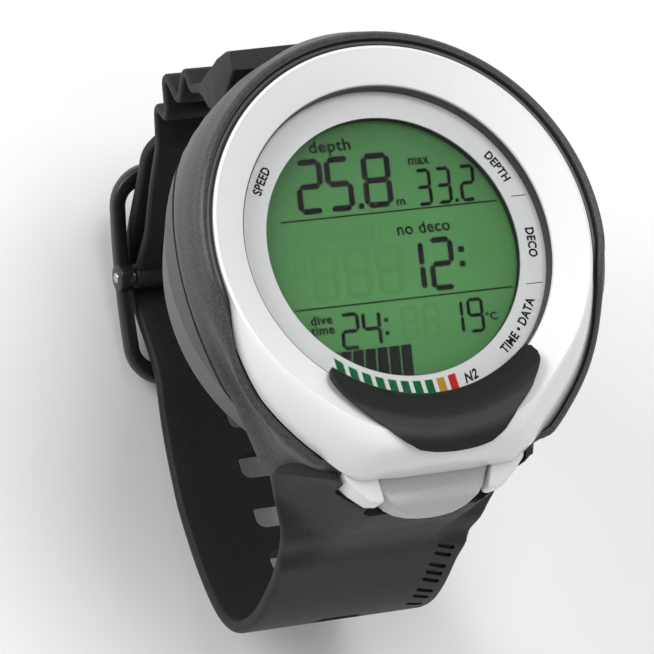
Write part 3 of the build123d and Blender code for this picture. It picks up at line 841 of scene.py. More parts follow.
@dataclass
class Bezel(Assembly):
    """White bezel ring with its crest, its skirt and nose at 6 o'clock, the button's arms, and the badge."""

    steps: int = 288
    inner: float = 25.4
    crest: float = 31.0
    crest_z: float = 26.4
    nose_z: float = 27.1
    arm_plan: tuple = ((9.9, -33.4), (15.3, -33.4), (14.9, -34.7), (13.5, -36.4), (11.2, -38.4),
                       (9.3, -38.7), (8.7, -38.3))
    badge_edge: Table = (
        (0.0, 33.9), (6.0, 33.85), (10.2, 33.7), (13.0, 33.3), (16.2, 32.6), (20.0, 31.55), (27.0, 30.2),
        (34.0, 28.9), (38.0, 28.0), (39.8, 27.2), (40.6, 26.4))
    badge_reach: float = 40.6
    badge_section: Table = ((25.35, 24.15), (25.6, 24.55), (26.5, 25.5), (28.0, 26.5), (29.5, 27.0),
                            (31.5, 27.15),
                            (32.6, 27.0), (33.4, 26.6), (34.0, 26.0))

    def section(self, row: int, turn: float) -> tuple[float, float]:
        """Radius and height of one row of the ring's skin, at some degrees from 6 o'clock."""
        nose = smooth(46, 18, turn)
        crest_r = self.crest + 1.2 * nose
        crest_z = blend(self.crest_z, self.nose_z, nose)
        edge_r, edge_z = along(SKIRT_EDGE, turn), along(SKIRT_EDGE, turn, 2)
        dish = ((self.inner, 23.4), (self.inner, 23.75), (25.5, 23.95), (25.75, 24.1), (27.6, 24.95),
                (29.2, 25.8))
        if row < 6:
            return dish[row]
        if row < 9:
            share = (row - 6) / 2
            return crest_r - 0.9 + 0.9 * share, crest_z - (0.25, 0.0, 0.12)[row - 6]
        if row < 15:
            share = (row - 8) / 6
            straight = (blend(crest_r, edge_r, share), blend(crest_z - 0.12, edge_z, share))
            arc = share * math.pi / 2
            round_ = (crest_r + (edge_r - crest_r) * math.sin(arc),
                      crest_z - (crest_z - edge_z) * (1 - math.cos(arc)))
            full = blend(0.35, 1.0, smooth(40, 12, turn))
            return blend(straight[0], round_[0], full), blend(straight[1], round_[1], full)
        skirt = smooth(80, 66, turn)
        return (
            (edge_r - 0.25 - 0.4 * skirt, edge_z - 0.1), (edge_r - 0.3 - 0.9 * skirt, edge_z + 0.6 * skirt),
            (30.0, 23.3), (self.inner + 0.2, 23.3))[row - 15]

    def ring(self) -> bpy.types.Object:
        """The bezel's skin."""
        def place(row: int, i: int) -> Vector:
            """Vertex of the skin."""
            theta = math.tau * i / self.steps
            radius, z = self.section(row, from_six(theta))
            return polar(radius, theta, z)

        skin = swept("bezel_shell", 19, self.steps, place, closed=True)
        shade(skin, 32)
        return skin

    def gasket(self) -> bpy.types.Object:
        """Black gasket that fills the gap between the bezel's edge and the case's rim."""
        def place(row: int, i: int) -> Vector:
            """Vertex of the gasket's skin."""
            theta = math.tau * i / self.steps
            turn = from_six(theta)
            skirt = smooth(84, 62, turn)
            edge_r, edge_z = along(SKIRT_EDGE, turn), along(SKIRT_EDGE, turn, 2)
            inner, outer = blend(self.crest, edge_r - 0.35, skirt), blend(32.25, edge_r + 0.85, skirt)
            top = blend(26.0, edge_z - 0.25, skirt) - 0.8 * smooth(33.0, 25.0, turn)
            behind_key = 3.0 * smooth(21.0, 17.0, turn)
            inner -= behind_key
            outer -= 1.6 * smooth(33.0, 25.0, turn) + behind_key
            bend = math.pi * min(row, 6) / 6
            if row < 7:
                return polar((inner + outer) / 2 - math.cos(bend) * (outer - inner) / 2, theta,
                             top - 0.35 + 0.35 * math.sin(bend))
            return polar((outer, inner)[row - 7], theta, top - 1.6)

        skin = swept("rim_seal", 9, self.steps, place, closed=True)
        shade(skin, 50)
        return skin

    def arm(self, side: int) -> bpy.types.Object:
        """One of the two fins beside the button."""
        outline = self.arm_plan if side > 0 else tuple((-x, y) for x, y in reversed(self.arm_plan))
        made = prism("arm", outline, lambda x, y, z: mm(x, y, z), 13.2, 18.3)
        for vertex in made.data.vertices:
            if vertex.co.z > 0.015:
                vertex.co.z -= 0.5 * max(0.0, -vertex.co.y - 0.0345)
        round_edges(made, 0.55, 4)
        return made

    def badge(self) -> bpy.types.Object:
        """Crescent pad between the dial and the nose."""
        def place(u: float, v: float) -> Vector:
            """Point of the pad's upper face."""
            turn = (2 * u - 1) * self.badge_reach
            outer = along(self.badge_edge, abs(turn))
            radius = blend(25.3, outer, v)
            z = along(self.badge_section, radius)
            return polar(radius, math.radians(turn - 90), z)

        pad = sheet("badge_pad", 96, 18, place)
        modify(pad, "SOLIDIFY", thickness=0.9 * MM, offset=-1.0)
        round_edges(pad, 0.32, 4)
        return pad

    def build(self) -> None:
        """Make and dress the bezel and its badge."""
        bezel = joined("bezel_shell", [self.ring(), self.arm(1), self.arm(-1)])
        self.fit(bezel, Finish.BEZEL, "case", "bezel_plastic", "bezel")
        self.fit(self.gasket(), Finish.RIM, "case", "rim_plastic", "rim_gasket")
        self.fit(self.badge(), Finish.BADGE, "case", "badge_plastic", "badge")


# ------------------------------------------------------------------ display
class Lit(Enum):
    """Segments of a seven-segment digit that make each numeral, by their usual letters."""

    ONE = "bc"
    TWO = "abged"
    THREE = "abgcd"
    FOUR = "fgbc"
    FIVE = "afgcd"
    EIGHT = "abcdefg"
    NINE = "abcdfg"


@dataclass
class Display(Assembly):
    """What the display shows, and the print on the dial ring."""

    film_z: float = 20.0
    dial_z: float = 21.5
    window: float = 20.85
    ink: float = 0.03
    slant: float = 0.115
    dial_text_r: float = 23.15

    def stroke(self, corners: Sequence[tuple[float, float]], z: float) -> bpy.types.Object:
        """Thin printed patch with these corners, in millimetres."""
        return prism("stroke", corners, lambda x, y, h: mm(x, y, h), z, z + self.ink)

    def digit(self, lit: Lit, x: float, y: float, width: float, height: float,
              bar: float) -> list[bpy.types.Object]:
        """Lit segments of one digit.

        Args:
            lit: the numeral.
            x: left end of its foot.
            y: its foot.
            width: width of the digit.
            height: its height.
            bar: width of a segment.

        Returns:
            The segments.
        """
        half, gap = bar / 2, bar * 0.09
        left, right = half, width - half
        foot, middle, head = half, height / 2, height - half
        ends = {"a": (left, head, right, head), "g": (left, middle, right, middle),
                "d": (left, foot, right, foot),
                "f": (left, middle, left, head), "b": (right, middle, right, head),
                "e": (left, foot, left, middle), "c": (right, foot, right, middle)}
        made = []
        for name in lit.value:
            x0, y0, x1, y1 = ends[name]
            if y0 == y1:
                shape = ((x0 + gap, y0), (x0 + half, y0 + half), (x1 - half, y0 + half), (x1 - gap, y0),
                         (x1 - half, y0 - half), (x0 + half, y0 - half))
            else:
                shape = ((x0, y0 + gap), (x0 + half, y0 + half), (x0 + half, y1 - half), (x0, y1 - gap),
                         (x0 - half, y1 - half), (x0 - half, y0 + half))
            made.append(self.stroke([(x + u + self.slant * v, y + v) for u, v in shape], self.film_z))
        return made

    def dot(self, x: float, y: float, size: float) -> bpy.types.Object:
        """Square dot of a decimal point or colon."""
        lean = self.slant * size
        corners = [(x, y), (x + size, y), (x + size + lean, y + size), (x + lean, y + size)]
        return self.stroke(corners, self.film_z)

    def caption(self, text: str, x: float, y: float, width: float, height: float) -> bpy.types.Object:
        """Small word on the display, squeezed to a width."""
        made = lettering(text, height, 0.06)
        size = max(vertex.co.x for vertex in made.data.vertices)
        for vertex in made.data.vertices:
            vertex.co.x = x * MM + vertex.co.x * width * MM / size
            vertex.co.y += y * MM
            vertex.co.z = (self.film_z + self.ink) * MM
        return made

    def readings(self) -> bpy.types.Object:
        """Everything that is switched on."""
        made = [
            *self.digit(Lit.TWO, -13.9, 6.75, 4.6, 8.9, 0.98),
            *self.digit(Lit.FIVE, -8.95, 6.75, 4.6, 8.9, 0.98),
            *self.digit(Lit.EIGHT, -2.75, 6.75, 4.9, 8.9, 0.98), self.dot(-3.85, 6.8, 0.95),
            *self.digit(Lit.THREE, 6.0, 6.25, 2.75, 6.1, 0.62),
            *self.digit(Lit.THREE, 9.4, 6.25, 2.75, 6.1, 0.62),
            *self.digit(Lit.TWO, 13.5, 6.25, 2.75, 6.1, 0.62), self.dot(12.5, 6.3, 0.62),
            *self.digit(Lit.ONE, 0.15, -7.55, 4.3, 8.6, 0.92),
            *self.digit(Lit.TWO, 5.2, -7.55, 4.3, 8.6, 0.92),
            self.dot(10.75, -4.1, 0.95), self.dot(11.05, -1.75, 0.95),
            *self.digit(Lit.TWO, -11.7, -15.25, 3.2, 5.9, 0.62),
            *self.digit(Lit.FOUR, -8.1, -15.25, 3.2, 5.9, 0.62),
            self.dot(-4.15, -13.6, 0.66), self.dot(-3.9, -11.5, 0.66),
            *self.digit(Lit.ONE, 6.3, -14.85, 2.8, 5.6, 0.56),
            *self.digit(Lit.NINE, 9.75, -14.85, 2.8, 5.6, 0.56),
            self.caption("depth", -9.9, 16.55, 7.0, 2.0), self.caption("m", 2.6, 6.8, 1.5, 1.5),
            self.caption("max", 6.1, 13.1, 3.6, 1.7), self.caption("no deco", 1.6, 2.0, 9.0, 2.0),
            self.caption("dive", -15.9, -10.75, 3.6, 1.5), self.caption("time", -16.2, -12.35, 3.9, 1.5),
            self.caption("°C", 13.1, -13.1, 1.9, 1.25)]
        for y, x0, x1 in ((5.82, -17.2, 19.6), (-8.33, -17.9, 18.8)):
            made.append(self.stroke([(x0, y), (x1, y), (x1, y + 0.24), (x0, y + 0.24)], self.film_z))
        for i in range(7):
            x = -0.35 - 1.98 * i
            head = [(x - 1.75, -15.4), (x, -15.4)]
            foot = [(u - 0.7, -math.sqrt(self.window ** 2 - (u - 0.7) ** 2)) for u, _ in reversed(head)]
            made.append(self.stroke(foot + head, self.film_z))
        return joined("display_readings", made)

    def unlit(self) -> bpy.types.Object:
        """Faint segments that are switched off."""
        places = [(-14.4 + 5.4 * i, -7.3, 4.4, 8.2, 0.9) for i in range(3)]
        places += [(-19.4 + 2.6 * i, -3.4, 2.2, 4.6, 0.5) for i in range(2)]
        places += [(12.6 + 2.6 * i, -4.0, 2.2, 4.6, 0.5) for i in range(3)]
        places += [(-1.5 + 3.6 * i, -14.9, 3.0, 5.6, 0.6) for i in range(2)]
        places += [(-17.5 + 2.1 * i, 1.6, 1.7, 3.0, 0.36) for i in range(8)]
        made = [part for place in places for part in self.digit(Lit.EIGHT, *place)]
        return joined("display_unlit", made)

    def around(self, text: str, centre: float, height: float, inward: bool,
               lean: float = 0.0) -> bpy.types.Object:
        """Word bent along the dial ring.

        Args:
            text: the word.
            centre: its middle, in degrees about the dial.
            height: height of a capital.
            inward: whether the tops of the letters point at the dial's axis.
            lean: slant of the letters.

        Returns:
            The mesh.
        """
        made = lettering(text, height, 0.07)
        half = max(vertex.co.x for vertex in made.data.vertices) / 2
        for vertex in made.data.vertices:
            u = (vertex.co.x - half) * 0.86 + vertex.co.y * lean
            v = vertex.co.y - height * MM / 2
            sign = -1 if inward else 1
            theta = math.radians(centre) - sign * u / (self.dial_text_r * MM)
            radius = self.dial_text_r + sign * v / MM
            vertex.co = polar(radius, theta, self.dial_z + self.ink)
        return made

    def dial_print(self) -> bpy.types.Object:
        """Black words and ticks on the dial ring."""
        made = [self.around("SPEED", 147.5, 1.45, False), self.around("DEPTH", 28.5, 1.45, False),
                self.around("DECO", -4.6, 1.45, False), self.around("TIME • DATA", -40.5, 1.45, True),
                self.around("N2", -71.2, 1.55, True, 0.3)]
        for y, x0, x1 in ((5.85, 21.3, 23.9), (-8.5, 20.4, 23.2)):
            made.append(self.stroke([(x0, y), (x1, y), (x1, y + 0.12), (x0, y + 0.12)], self.dial_z))
        return joined("dial_print", made)

    def bars(self, name: str, numbers: Sequence[int]) -> bpy.types.Object:
        """Coloured bars of the gas scale, by their place from the left."""
        made = []
        for i in numbers:
            x0 = -14.1 + 1.98 * i
            x1 = x0 + 1.3
            corners = [(x, -math.sqrt(r * r - x * x)) for x, r in ((x0, 21.75), (x0 + 0.25, 24.45))]
            corners += [(x, -math.sqrt(r * r - x * x)) for x, r in ((x1 + 0.25, 24.45), (x1, 21.75))]
            made.append(self.stroke(corners, self.dial_z))
        return joined(name, made)

    def lens(self) -> bpy.types.Object:
        """Clear lens: a disc with a polished chamfer."""
        low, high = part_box("lens")
        radius = high.x / MM - 0.08
        levels = ((radius, low.z / MM + 0.05), (radius, high.z / MM - 0.3),
                  (radius - 0.25, high.z / MM - 0.04),
                  (radius - 0.6, high.z / MM))

        def place(row: int, i: int) -> Vector:
            """Vertex of the lens's skin."""
            return polar(levels[row][0], math.tau * i / 128, levels[row][1])

        made = swept("front_lens", len(levels), 128, place)
        shade(made, 30)
        return made

    def build(self) -> None:
        """Make and dress the lens, the readings and the print."""
        self.fit(self.lens(), Finish.LENS, "case", "lens_glass", "lens")
        self.fit(self.unlit(), Finish.GHOST, "case", "display_film")
        self.fit(self.readings(), Finish.SEGMENT, "case", "display_film")
        self.fit(self.dial_print(), Finish.PRINT, "case", "dial_metal")
        self.fit(self.bars("scale_green", range(8)), Finish.GREEN_BAR, "case", "dial_metal")
        self.fit(self.bars("scale_amber", [8]), Finish.AMBER_BAR, "case", "dial_metal")
        self.fit(self.bars("scale_red", [9]), Finish.RED_BAR, "case", "dial_metal")


# ------------------------------------------------------------------ straps
Point = tuple[float, float]


def filleted(points: Sequence[Point], radii: Sequence[float]) -> list[Point]:
    """Corners of a line replaced by arcs.

    Args:
        points: (y, z) corners, ends included.
        radii: radius at each inner corner.

    Returns:
        Points along the straight runs' ends and the arcs.
    """
    made = [points[0]]
    for before, at, after, radius in zip(points, points[1:], points[2:], radii):
        a, b, c = Vector(before), Vector(at), Vector(after)
        u, w = (a - b).normalized(), (c - b).normalized()
        half = u.angle(w) / 2
        centre = b + (u + w).normalized() * (radius / math.sin(half))
        start, end = b + u * (radius / math.tan(half)), b + w * (radius / math.tan(half))
        for i in range(9):
            side = (start - centre).lerp(end - centre, i / 8).normalized() * radius
            made.append(tuple(centre + side))
    return [*made, points[-1]]


def evenly(points: Sequence[Point], count: int) -> list[tuple[Vector, Vector]]:
    """Even samples of a polyline, each a (point, direction) pair of 2-D vectors."""
    line = np.array(points, float)
    length = np.concatenate([[0.0], np.cumsum(np.linalg.norm(np.diff(line, axis=0), axis=1))])
    even = np.linspace(0, length[-1], count + 1)
    made = np.stack([np.interp(even, length, line[:, i]) for i in (0, 1)], 1)
    slope = np.gradient(made, axis=0)
    slope /= np.linalg.norm(slope, axis=1)[:, None]
    return [(Vector(at), Vector(way)) for at, way in zip(made.tolist(), slope.tolist())]


@dataclass(frozen=True)
class Pin:
    """Axis of the buckle's pin, and the arc that the frame follows."""

    y: float = 20.8
    z: float = -51.4
    tilt: float = 18.0
    radius: float = 70.0
    inset: float = 0.5

    @property
    def outward(self) -> Vector:
        """Direction out of the strap at the pin, in (y, z)."""
        return Vector((math.sin(math.radians(self.tilt)), -math.cos(math.radians(self.tilt))))

    def near(self, s: float, n: float) -> Point:
        """(y, z) of a point s along the strap and n outward from the pin."""
        way = Vector((-self.outward.y, self.outward.x))
        at = Vector((self.y, self.z)) + way * s + self.outward * n
        return at.x, at.y

    def arc(self, radius: float, degrees: float) -> Point:
        """(y, z) of a point on the frame's arc, by radius and angle from the pin."""
        centre = Vector((self.y, self.z)) - self.outward * (self.radius - self.inset)
        turn = math.radians(self.tilt - 90 + degrees)
        return centre.x + math.cos(turn) * radius, centre.y + math.sin(turn) * radius


PIN = Pin()


@dataclass
class Ribbon(Assembly):
    """A strap swept along its side view: rounded edges, a thick root and rows of holes."""

    outward: int = -1
    thickness: float = 2.2
    edge: float = 0.75
    face_steps: int = 18
    back_steps: int = 8

    def half(self, at: Vector) -> float:
        """Half width where the middle line passes a point."""
        raise NotImplementedError

    def faces(self, at: Vector, x: float) -> tuple[float, float]:
        """How far the outer and inner faces stand from the middle line at a distance from its centre."""
        return self.thickness / 2, self.thickness / 2

    def section(self) -> list[tuple[float, int, float, float]]:
        """Points round the strap: share of the width, face (1 outer, -1 inner), and the edge's rounding."""
        made = [(-1 + 2 * i / self.face_steps, 1, 0.0, 0.0) for i in range(self.face_steps + 1)]
        bend = [math.radians(a) for a in (30, 60, 90)]
        made += [(1.0, 1, math.sin(a), 1 - math.cos(a)) for a in bend]
        made += [(1.0, -1, math.sin(a), 1 - math.cos(a)) for a in reversed(bend)]
        made += [(1 - 2 * i / self.back_steps, -1, 0.0, 0.0) for i in range(self.back_steps + 1)]
        made += [(-1.0, -1, -math.sin(a), 1 - math.cos(a)) for a in bend]
        made += [(-1.0, 1, -math.sin(a), 1 - math.cos(a)) for a in reversed(bend)]
        return made

    def skin(self, name: str, path: Sequence[tuple[Vector, Vector]]) -> bpy.types.Object:
        """Sweep the section along the path."""
        section = self.section()

        def place(row: int, i: int) -> Vector:
            """Vertex of the strap's skin."""
            at, way = path[row]
            share, face, out, drop = section[i]
            edge = min(self.edge, self.half(at) * 0.4)
            x = share * (self.half(at) - edge)
            outer, inner = self.faces(at, abs(x))
            level = outer - edge * drop if face > 0 else -inner + edge * drop
            normal = Vector((way.y, -way.x)) * -self.outward
            point = at + normal * level
            return mm(x + out * edge, point.x, point.y)

        return swept(name, len(path), len(section), place)

    def hole(self, at: Vector, way: Vector, width: float, length: float, corner: float, x: float = 0.0,
             low: float = -4.0, lean: float = 0.0) -> bpy.types.Object:
        """Cutter of one rounded hole or mark, square to the strap.

        Args:
            at: place on the middle line.
            way: direction of the strap there.
            width: size across the strap.
            length: size along it.
            corner: radius of the corners.
            x: distance from the middle of the strap.
            low: depth that the cutter starts from, outward of the middle line.
            lean: how far along the strap it moves for each millimetre across.

        Returns:
            The cutter.
        """
        outline = []
        for cx, cy, start in ((1, 1, 0), (-1, 1, 90), (-1, -1, 180), (1, -1, 270)):
            for a in range(0, 91, 18):
                turn = math.radians(start + a)
                outline.append((cx * (width / 2 - corner) + corner * math.cos(turn),
                                cy * (length / 2 - corner) + corner * math.sin(turn)))

        def lift(u: float, v: float, n: float) -> Vector:
            """Corner of the cutter."""
            point = at + way * (v + lean * u) + Vector((way.y, -way.x)) * -self.outward * n
            return mm(x + u, point.x, point.y)

        return prism("hole", outline, lift, low, 4.0)


@dataclass
class LongStrap(Ribbon):
    """Holed strap from 6 o'clock, round the wrist and through the buckle."""

    start: tuple = ((-33.6, 17.2), (-34.4, 10.0), (-35.0, 3.5), (-37.0, -4.0), (-41.2, -16.0), (-44.9, -28.5),
                    (-42.9, -39.3), (-32.9, -46.3), (-17.8, -50.2), (-3.5, -51.6))
    under_bar: float = 66.3
    over_pin: float = 73.1
    bar_degrees: float = 13.5
    tip: Point = (41.0, -31.5)
    stations: int = 150
    near_half: Table = ((-60.0, 16.3), (-30.0, 16.3), (-17.0, 16.0), (-10.0, 16.6), (-4.0, 17.9), (1.5, 19.9),
                        (6.5, 21.9), (8.5, 21.8), (12.0, 20.3), (17.5, 16.9))
    far_half: Table = ((-20.0, 16.3), (2.0, 14.9), (36.5, 14.9))
    tip_start: float = 36.0
    tip_length: float = 5.1
    plan: Table = ((0.0, -40.6), (6.0, -40.5), (8.6, -39.9), (10.8, -38.7), (15.8, -35.0), (22.3, -29.6),
                   (24.0, -27.0))
    front: Table = ((-8.0, -39.6), (-2.0, -39.2), (3.0, -39.6), (9.6, -39.2), (14.0, -37.9), (17.4, -36.3))
    rear: Table = ((-8.0, -37.0), (-6.0, -36.4), (-2.0, -33.8), (1.0, -31.0), (4.6, -28.4), (10.0, -28.0),
                   (17.4, -30.6))
    hole_size: tuple = (8.0, 4.6, 1.6)
    pitch: float = 9.4
    before: int = 8
    after: int = 2
    tongue_room: float = 1.6
    marks: int = 8
    marks_from: float = 30.0
    mark_pitch: float = 2.6
    mark_size: tuple = (3.4, 1.1, 0.5)
    mark_x: float = 12.6
    mark_depth: float = 0.45
    mark_lean: float = 0.45
    root_from: float = -5.0
    root_to: float = -13.0
    root_least: float = 1.6
    front_side: float = -20.0
    key_room: tuple = ((-10.3, -50), (10.3, -50), (10.3, -20), (-10.3, -20))
    key_floor: float = 10.2
    arm_room: tuple = ((8.0, -33.0), (16.2, -33.0), (15.3, -35.4), (13.6, -42.0), (8.0, -42.0))
    arm_floor: float = 12.9
    room_top: float = 30.0

    def half(self, at: Vector) -> float:
        """Half width: wide at the case, even along the wrist, and round at the tip."""
        if at.x < self.front_side:
            return along(self.near_half, at.y)
        tip = min(0.97, max(0.0, (at.x - self.tip_start) / self.tip_length))
        return along(self.far_half, at.x) * (1 - tip ** 2.4) ** (1 / 2.4)

    def faces(self, at: Vector, x: float) -> tuple[float, float]:
        """The root fills the corner under the case's chin."""
        root = smooth(self.root_to, self.root_from, at.y) if at.x < self.front_side else 0.0
        half = self.thickness / 2
        outer = at.x - max(along(self.front, at.y), along(self.plan, x))
        inner = along(self.rear, at.y) - at.x
        outer, inner = blend(half, outer, root), blend(half, inner, root)
        return max(outer, self.root_least - inner), inner

    def path(self) -> list[tuple[Vector, Vector]]:
        """The strap's middle line."""
        points = [*self.start, PIN.arc(self.under_bar, -self.bar_degrees), PIN.arc(self.over_pin, 0.4),
                  PIN.arc(self.under_bar - 0.7, self.bar_degrees), self.tip]
        return cubic_through(points, self.stations)

    def build(self) -> None:
        """Make, pierce and dress the strap."""
        path = self.path()
        strap = self.skin("long_strap", path)
        steps = [0.0]
        for (a, _), (b, _) in zip(path, path[1:]):
            steps.append(steps[-1] + (b - a).length)
        pin_hole = Vector(PIN.near(0.6, 3.6))
        nearest = min(range(len(path)), key=lambda i: (path[i][0] - pin_hole).length)
        holes = []
        for number in range(-self.before, self.after + 1):
            along_strap = steps[nearest] + number * self.pitch
            i = min(range(len(path)), key=lambda k: abs(steps[k] - along_strap))
            at = path[i][0] + path[i][1] * (along_strap - steps[i])
            width, length, corner = self.hole_size
            room = self.tongue_room if number == 0 else 0.0
            holes.append(self.hole(at, path[i][1], width, length + room, corner))
        for number in range(self.marks):
            mark_at = self.marks_from + number * self.mark_pitch
            i = min(range(len(path)), key=lambda k: abs(steps[k] - mark_at))
            holes.append(self.hole(*path[i], *self.mark_size, self.mark_x,
                                   self.thickness / 2 - self.mark_depth, self.mark_lean))
        cut(strap, joined("holes", holes))
        room = prism("button_room", self.key_room, mm, self.key_floor, self.room_top)
        round_edges(room, 1.0)
        cut(strap, room)
        for side in (1, -1):
            outline = self.arm_room if side > 0 else tuple((-x, y) for x, y in reversed(self.arm_room))
            groove = prism("arm_groove", outline, mm, self.arm_floor, self.room_top)
            round_edges(groove, 0.8)
            cut(strap, groove)
        shade(strap, 40)
        self.fit(strap, Finish.STRAP, "case", "strap_rubber", "lower_strap")


@dataclass
class ShortStrap(Ribbon):
    """Pleated strap from 12 o'clock to the buckle's pin."""

    outward: int = 1
    thickness: float = 1.6
    edge: float = 0.55
    corners: tuple = ((33.9, 13.2), (34.0, 7.0), (36.0, -1.0), (37.3, -5.0), (41.5, -6.1), (37.2, -11.2),
                      (44.6, -15.0), (36.8, -18.2), (41.1, -22.5), (35.2, -26.2), (31.0, -34.0),
                      (25.1, -42.7), (PIN.y, PIN.z))
    radii: tuple = (10.0, 4.0, 1.2, 1.2, 1.3, 1.3, 1.3, 1.3, 2.0, 12.0, 12.0)
    stations: int = 170
    widths: Table = ((-60.0, 14.9), (-42.0, 14.9), (-15.0, 16.8), (14.0, 16.5))
    front: Table = ((-4.0, 37.6), (-3.0, 37.2), (7.0, 38.0), (11.5, 37.6), (13.3, 36.9))
    rear: Table = ((-4.0, 35.9), (-3.0, 35.2), (0.8, 32.0), (4.6, 29.6), (13.2, 33.5))
    knuckle: float = 2.1
    slot_half: float = 3.9
    slot_play: float = 0.9
    root_to: float = -3.0
    root_from: float = 2.0
    bulge: float = 0.02

    def half(self, at: Vector) -> float:
        """Half width."""
        return along(self.widths, at.y)

    def faces(self, at: Vector, x: float) -> tuple[float, float]:
        """The root fills the corner under the case's crown."""
        root = smooth(self.root_to, self.root_from, at.y)
        half = self.thickness / 2
        outer = along(self.front, at.y) - self.bulge * x - at.x
        return blend(half, outer, root), blend(half, at.x - along(self.rear, at.y), root)

    def build(self) -> None:
        """Make and dress the strap with its knuckles."""
        strap = self.skin("short_strap", evenly(filleted(self.corners, self.radii), self.stations))
        cut(strap, rod("slot", self.knuckle + self.slot_play, -self.slot_half, self.slot_half,
                       PIN.y, PIN.z, 0.1))
        width = self.half(Vector((PIN.y, PIN.z)))
        rolls = [rod("roll", self.knuckle, x0, x1, PIN.y, PIN.z, 0.4)
                 for x0, x1 in ((self.slot_half, width), (-width, -self.slot_half))]
        strap = joined("short_strap", [strap, *rolls])
        shade(strap, 40)
        self.fit(strap, Finish.STRAP, "case", "strap_rubber", "upper_strap")


def rod(name: str, radius: float, x0: float, x1: float, y: float, z: float,
        rounding: float) -> bpy.types.Object:
    """Round bar along X with rounded ends.

    Args:
        name: name of the piece.
        radius: its radius.
        x0: one end.
        x1: the other end.
        y: place of its axis.
        z: place of its axis.
        rounding: radius of the rounded end edges.

    Returns:
        The object, at the origin.
    """
    sides = 48
    rows = [(x0, 0.25)]
    for degrees in (90, 60, 30, 0):
        turn = math.radians(degrees)
        rows.append((x0 + rounding * (1 - math.sin(turn)), 1 - rounding / radius * (1 - math.cos(turn))))
    rows += [(x0 + x1 - x, r) for x, r in reversed(rows)]

    def place(row: int, i: int) -> Vector:
        """Vertex of the bar."""
        turn = math.tau * i / sides
        x, share = rows[row]
        return mm(x, y + radius * share * math.cos(turn), z + radius * share * math.sin(turn))

    made = swept(name, len(rows), sides, place)
    shade(made, 40)
    return made


# ------------------------------------------------------------------ buckle
@dataclass
class Buckle(Assembly):
    """Curved frame with its bosses, the steel pin and the tongue."""

    half: float = 18.0
    reach: float = 15.6
    corner: float = 7.0
    window_half: float = 15.6
    window_reach: float = 12.4
    window_corner: float = 3.0
    thickness: float = 2.6
    boss: float = 2.4
    pin_radius: float = 0.9
    tongue_half: float = 3.5
    knuckle: float = 2.1
    straight: int = 10
    bend: int = 10
    section: int = 20

    def loop(self, half: float, reach: float, corner: float) -> list[Point]:
        """Rounded rectangle (x, s) with the same number of points whatever its size."""
        long = reach * math.radians(1) * PIN.radius
        made = []
        for cx, cy, start in ((1, 1, 0), (-1, 1, 90), (-1, -1, 180), (1, -1, 270)):
            for i in range(self.bend + 1):
                turn = math.radians(start + 90 * i / self.bend)
                made.append((cx * (half - corner) + corner * math.cos(turn),
                             cy * (long - corner) + corner * math.sin(turn)))
            (x0, s0), turn = made[-1], math.radians(start + 90)
            nx, ns = ((-1, 1), (-1, -1), (1, -1), (1, 1))[start // 90]
            end = (nx * (half - corner) + corner * math.cos(turn),
                   ns * (long - corner) + corner * math.sin(turn))
            for i in range(1, self.straight):
                made.append((blend(x0, end[0], i / self.straight), blend(s0, end[1], i / self.straight)))
        return made

    def frame_ring(self) -> bpy.types.Object:
        """The frame's rounded bar, bent to the arc."""
        outer = self.loop(self.half, self.reach, self.corner)
        inner = self.loop(self.window_half, self.window_reach, self.window_corner)

        def place(row: int, i: int) -> Vector:
            """Vertex of the frame's skin."""
            turn = math.tau * i / self.section
            u, v = math.cos(turn), math.sin(turn)
            u, v = math.copysign(abs(u) ** 0.55, u), math.copysign(abs(v) ** 0.55, v)
            x = blend(inner[row][0], outer[row][0], (1 + u) / 2)
            s = blend(inner[row][1], outer[row][1], (1 + u) / 2)
            y, z = PIN.arc(PIN.radius + v * self.thickness / 2, math.degrees(s / PIN.radius))
            return mm(x, y, z)

        made = swept("buckle_ring", len(outer), self.section, place, closed=True)
        shade(made, 45)
        return made

    def tongue(self) -> bpy.types.Object:
        """The tongue: a bent bar rolled round the pin."""
        side = ((-1.2, 1.0), (-1.2, 4.95), (-16.0, -0.02), (-17.6, 0.2), (-17.6, 1.6), (-16.4, 2.0),
                (-2.2, 6.9), (-0.4, 6.9), (0.8, 5.8), (0.8, 1.0))
        bar = prism("tongue_bar", [PIN.near(s, n) for s, n in side], lambda y, z, x: mm(x, y, z),
                    -self.tongue_half, self.tongue_half)
        round_edges(bar, 0.45)
        roll = rod("tongue_roll", self.knuckle, -self.tongue_half, self.tongue_half, PIN.y, PIN.z, 0.4)
        return joined("tongue_shell", [bar, roll])

    def build(self) -> None:
        """Make and dress the buckle."""
        bosses = [rod("boss", self.boss, x0, x1, PIN.y, PIN.z, 0.35)
                  for x0, x1 in ((self.window_half, self.half), (-self.half, -self.window_half))]
        ring = joined("buckle_shell", [self.frame_ring(), *bosses])
        self.fit(ring, Finish.BUCKLE, "buckle", "buckle_plastic", "buckle_frame")
        pin = rod("steel_pin", self.pin_radius, -self.half - 0.3, self.half + 0.3, PIN.y, PIN.z, 0.25)
        self.fit(pin, Finish.STEEL, "buckle", "steel", "buckle_pin")
        self.fit(self.tongue(), Finish.BUCKLE, "tongue", "buckle_plastic", "buckle_tongue")


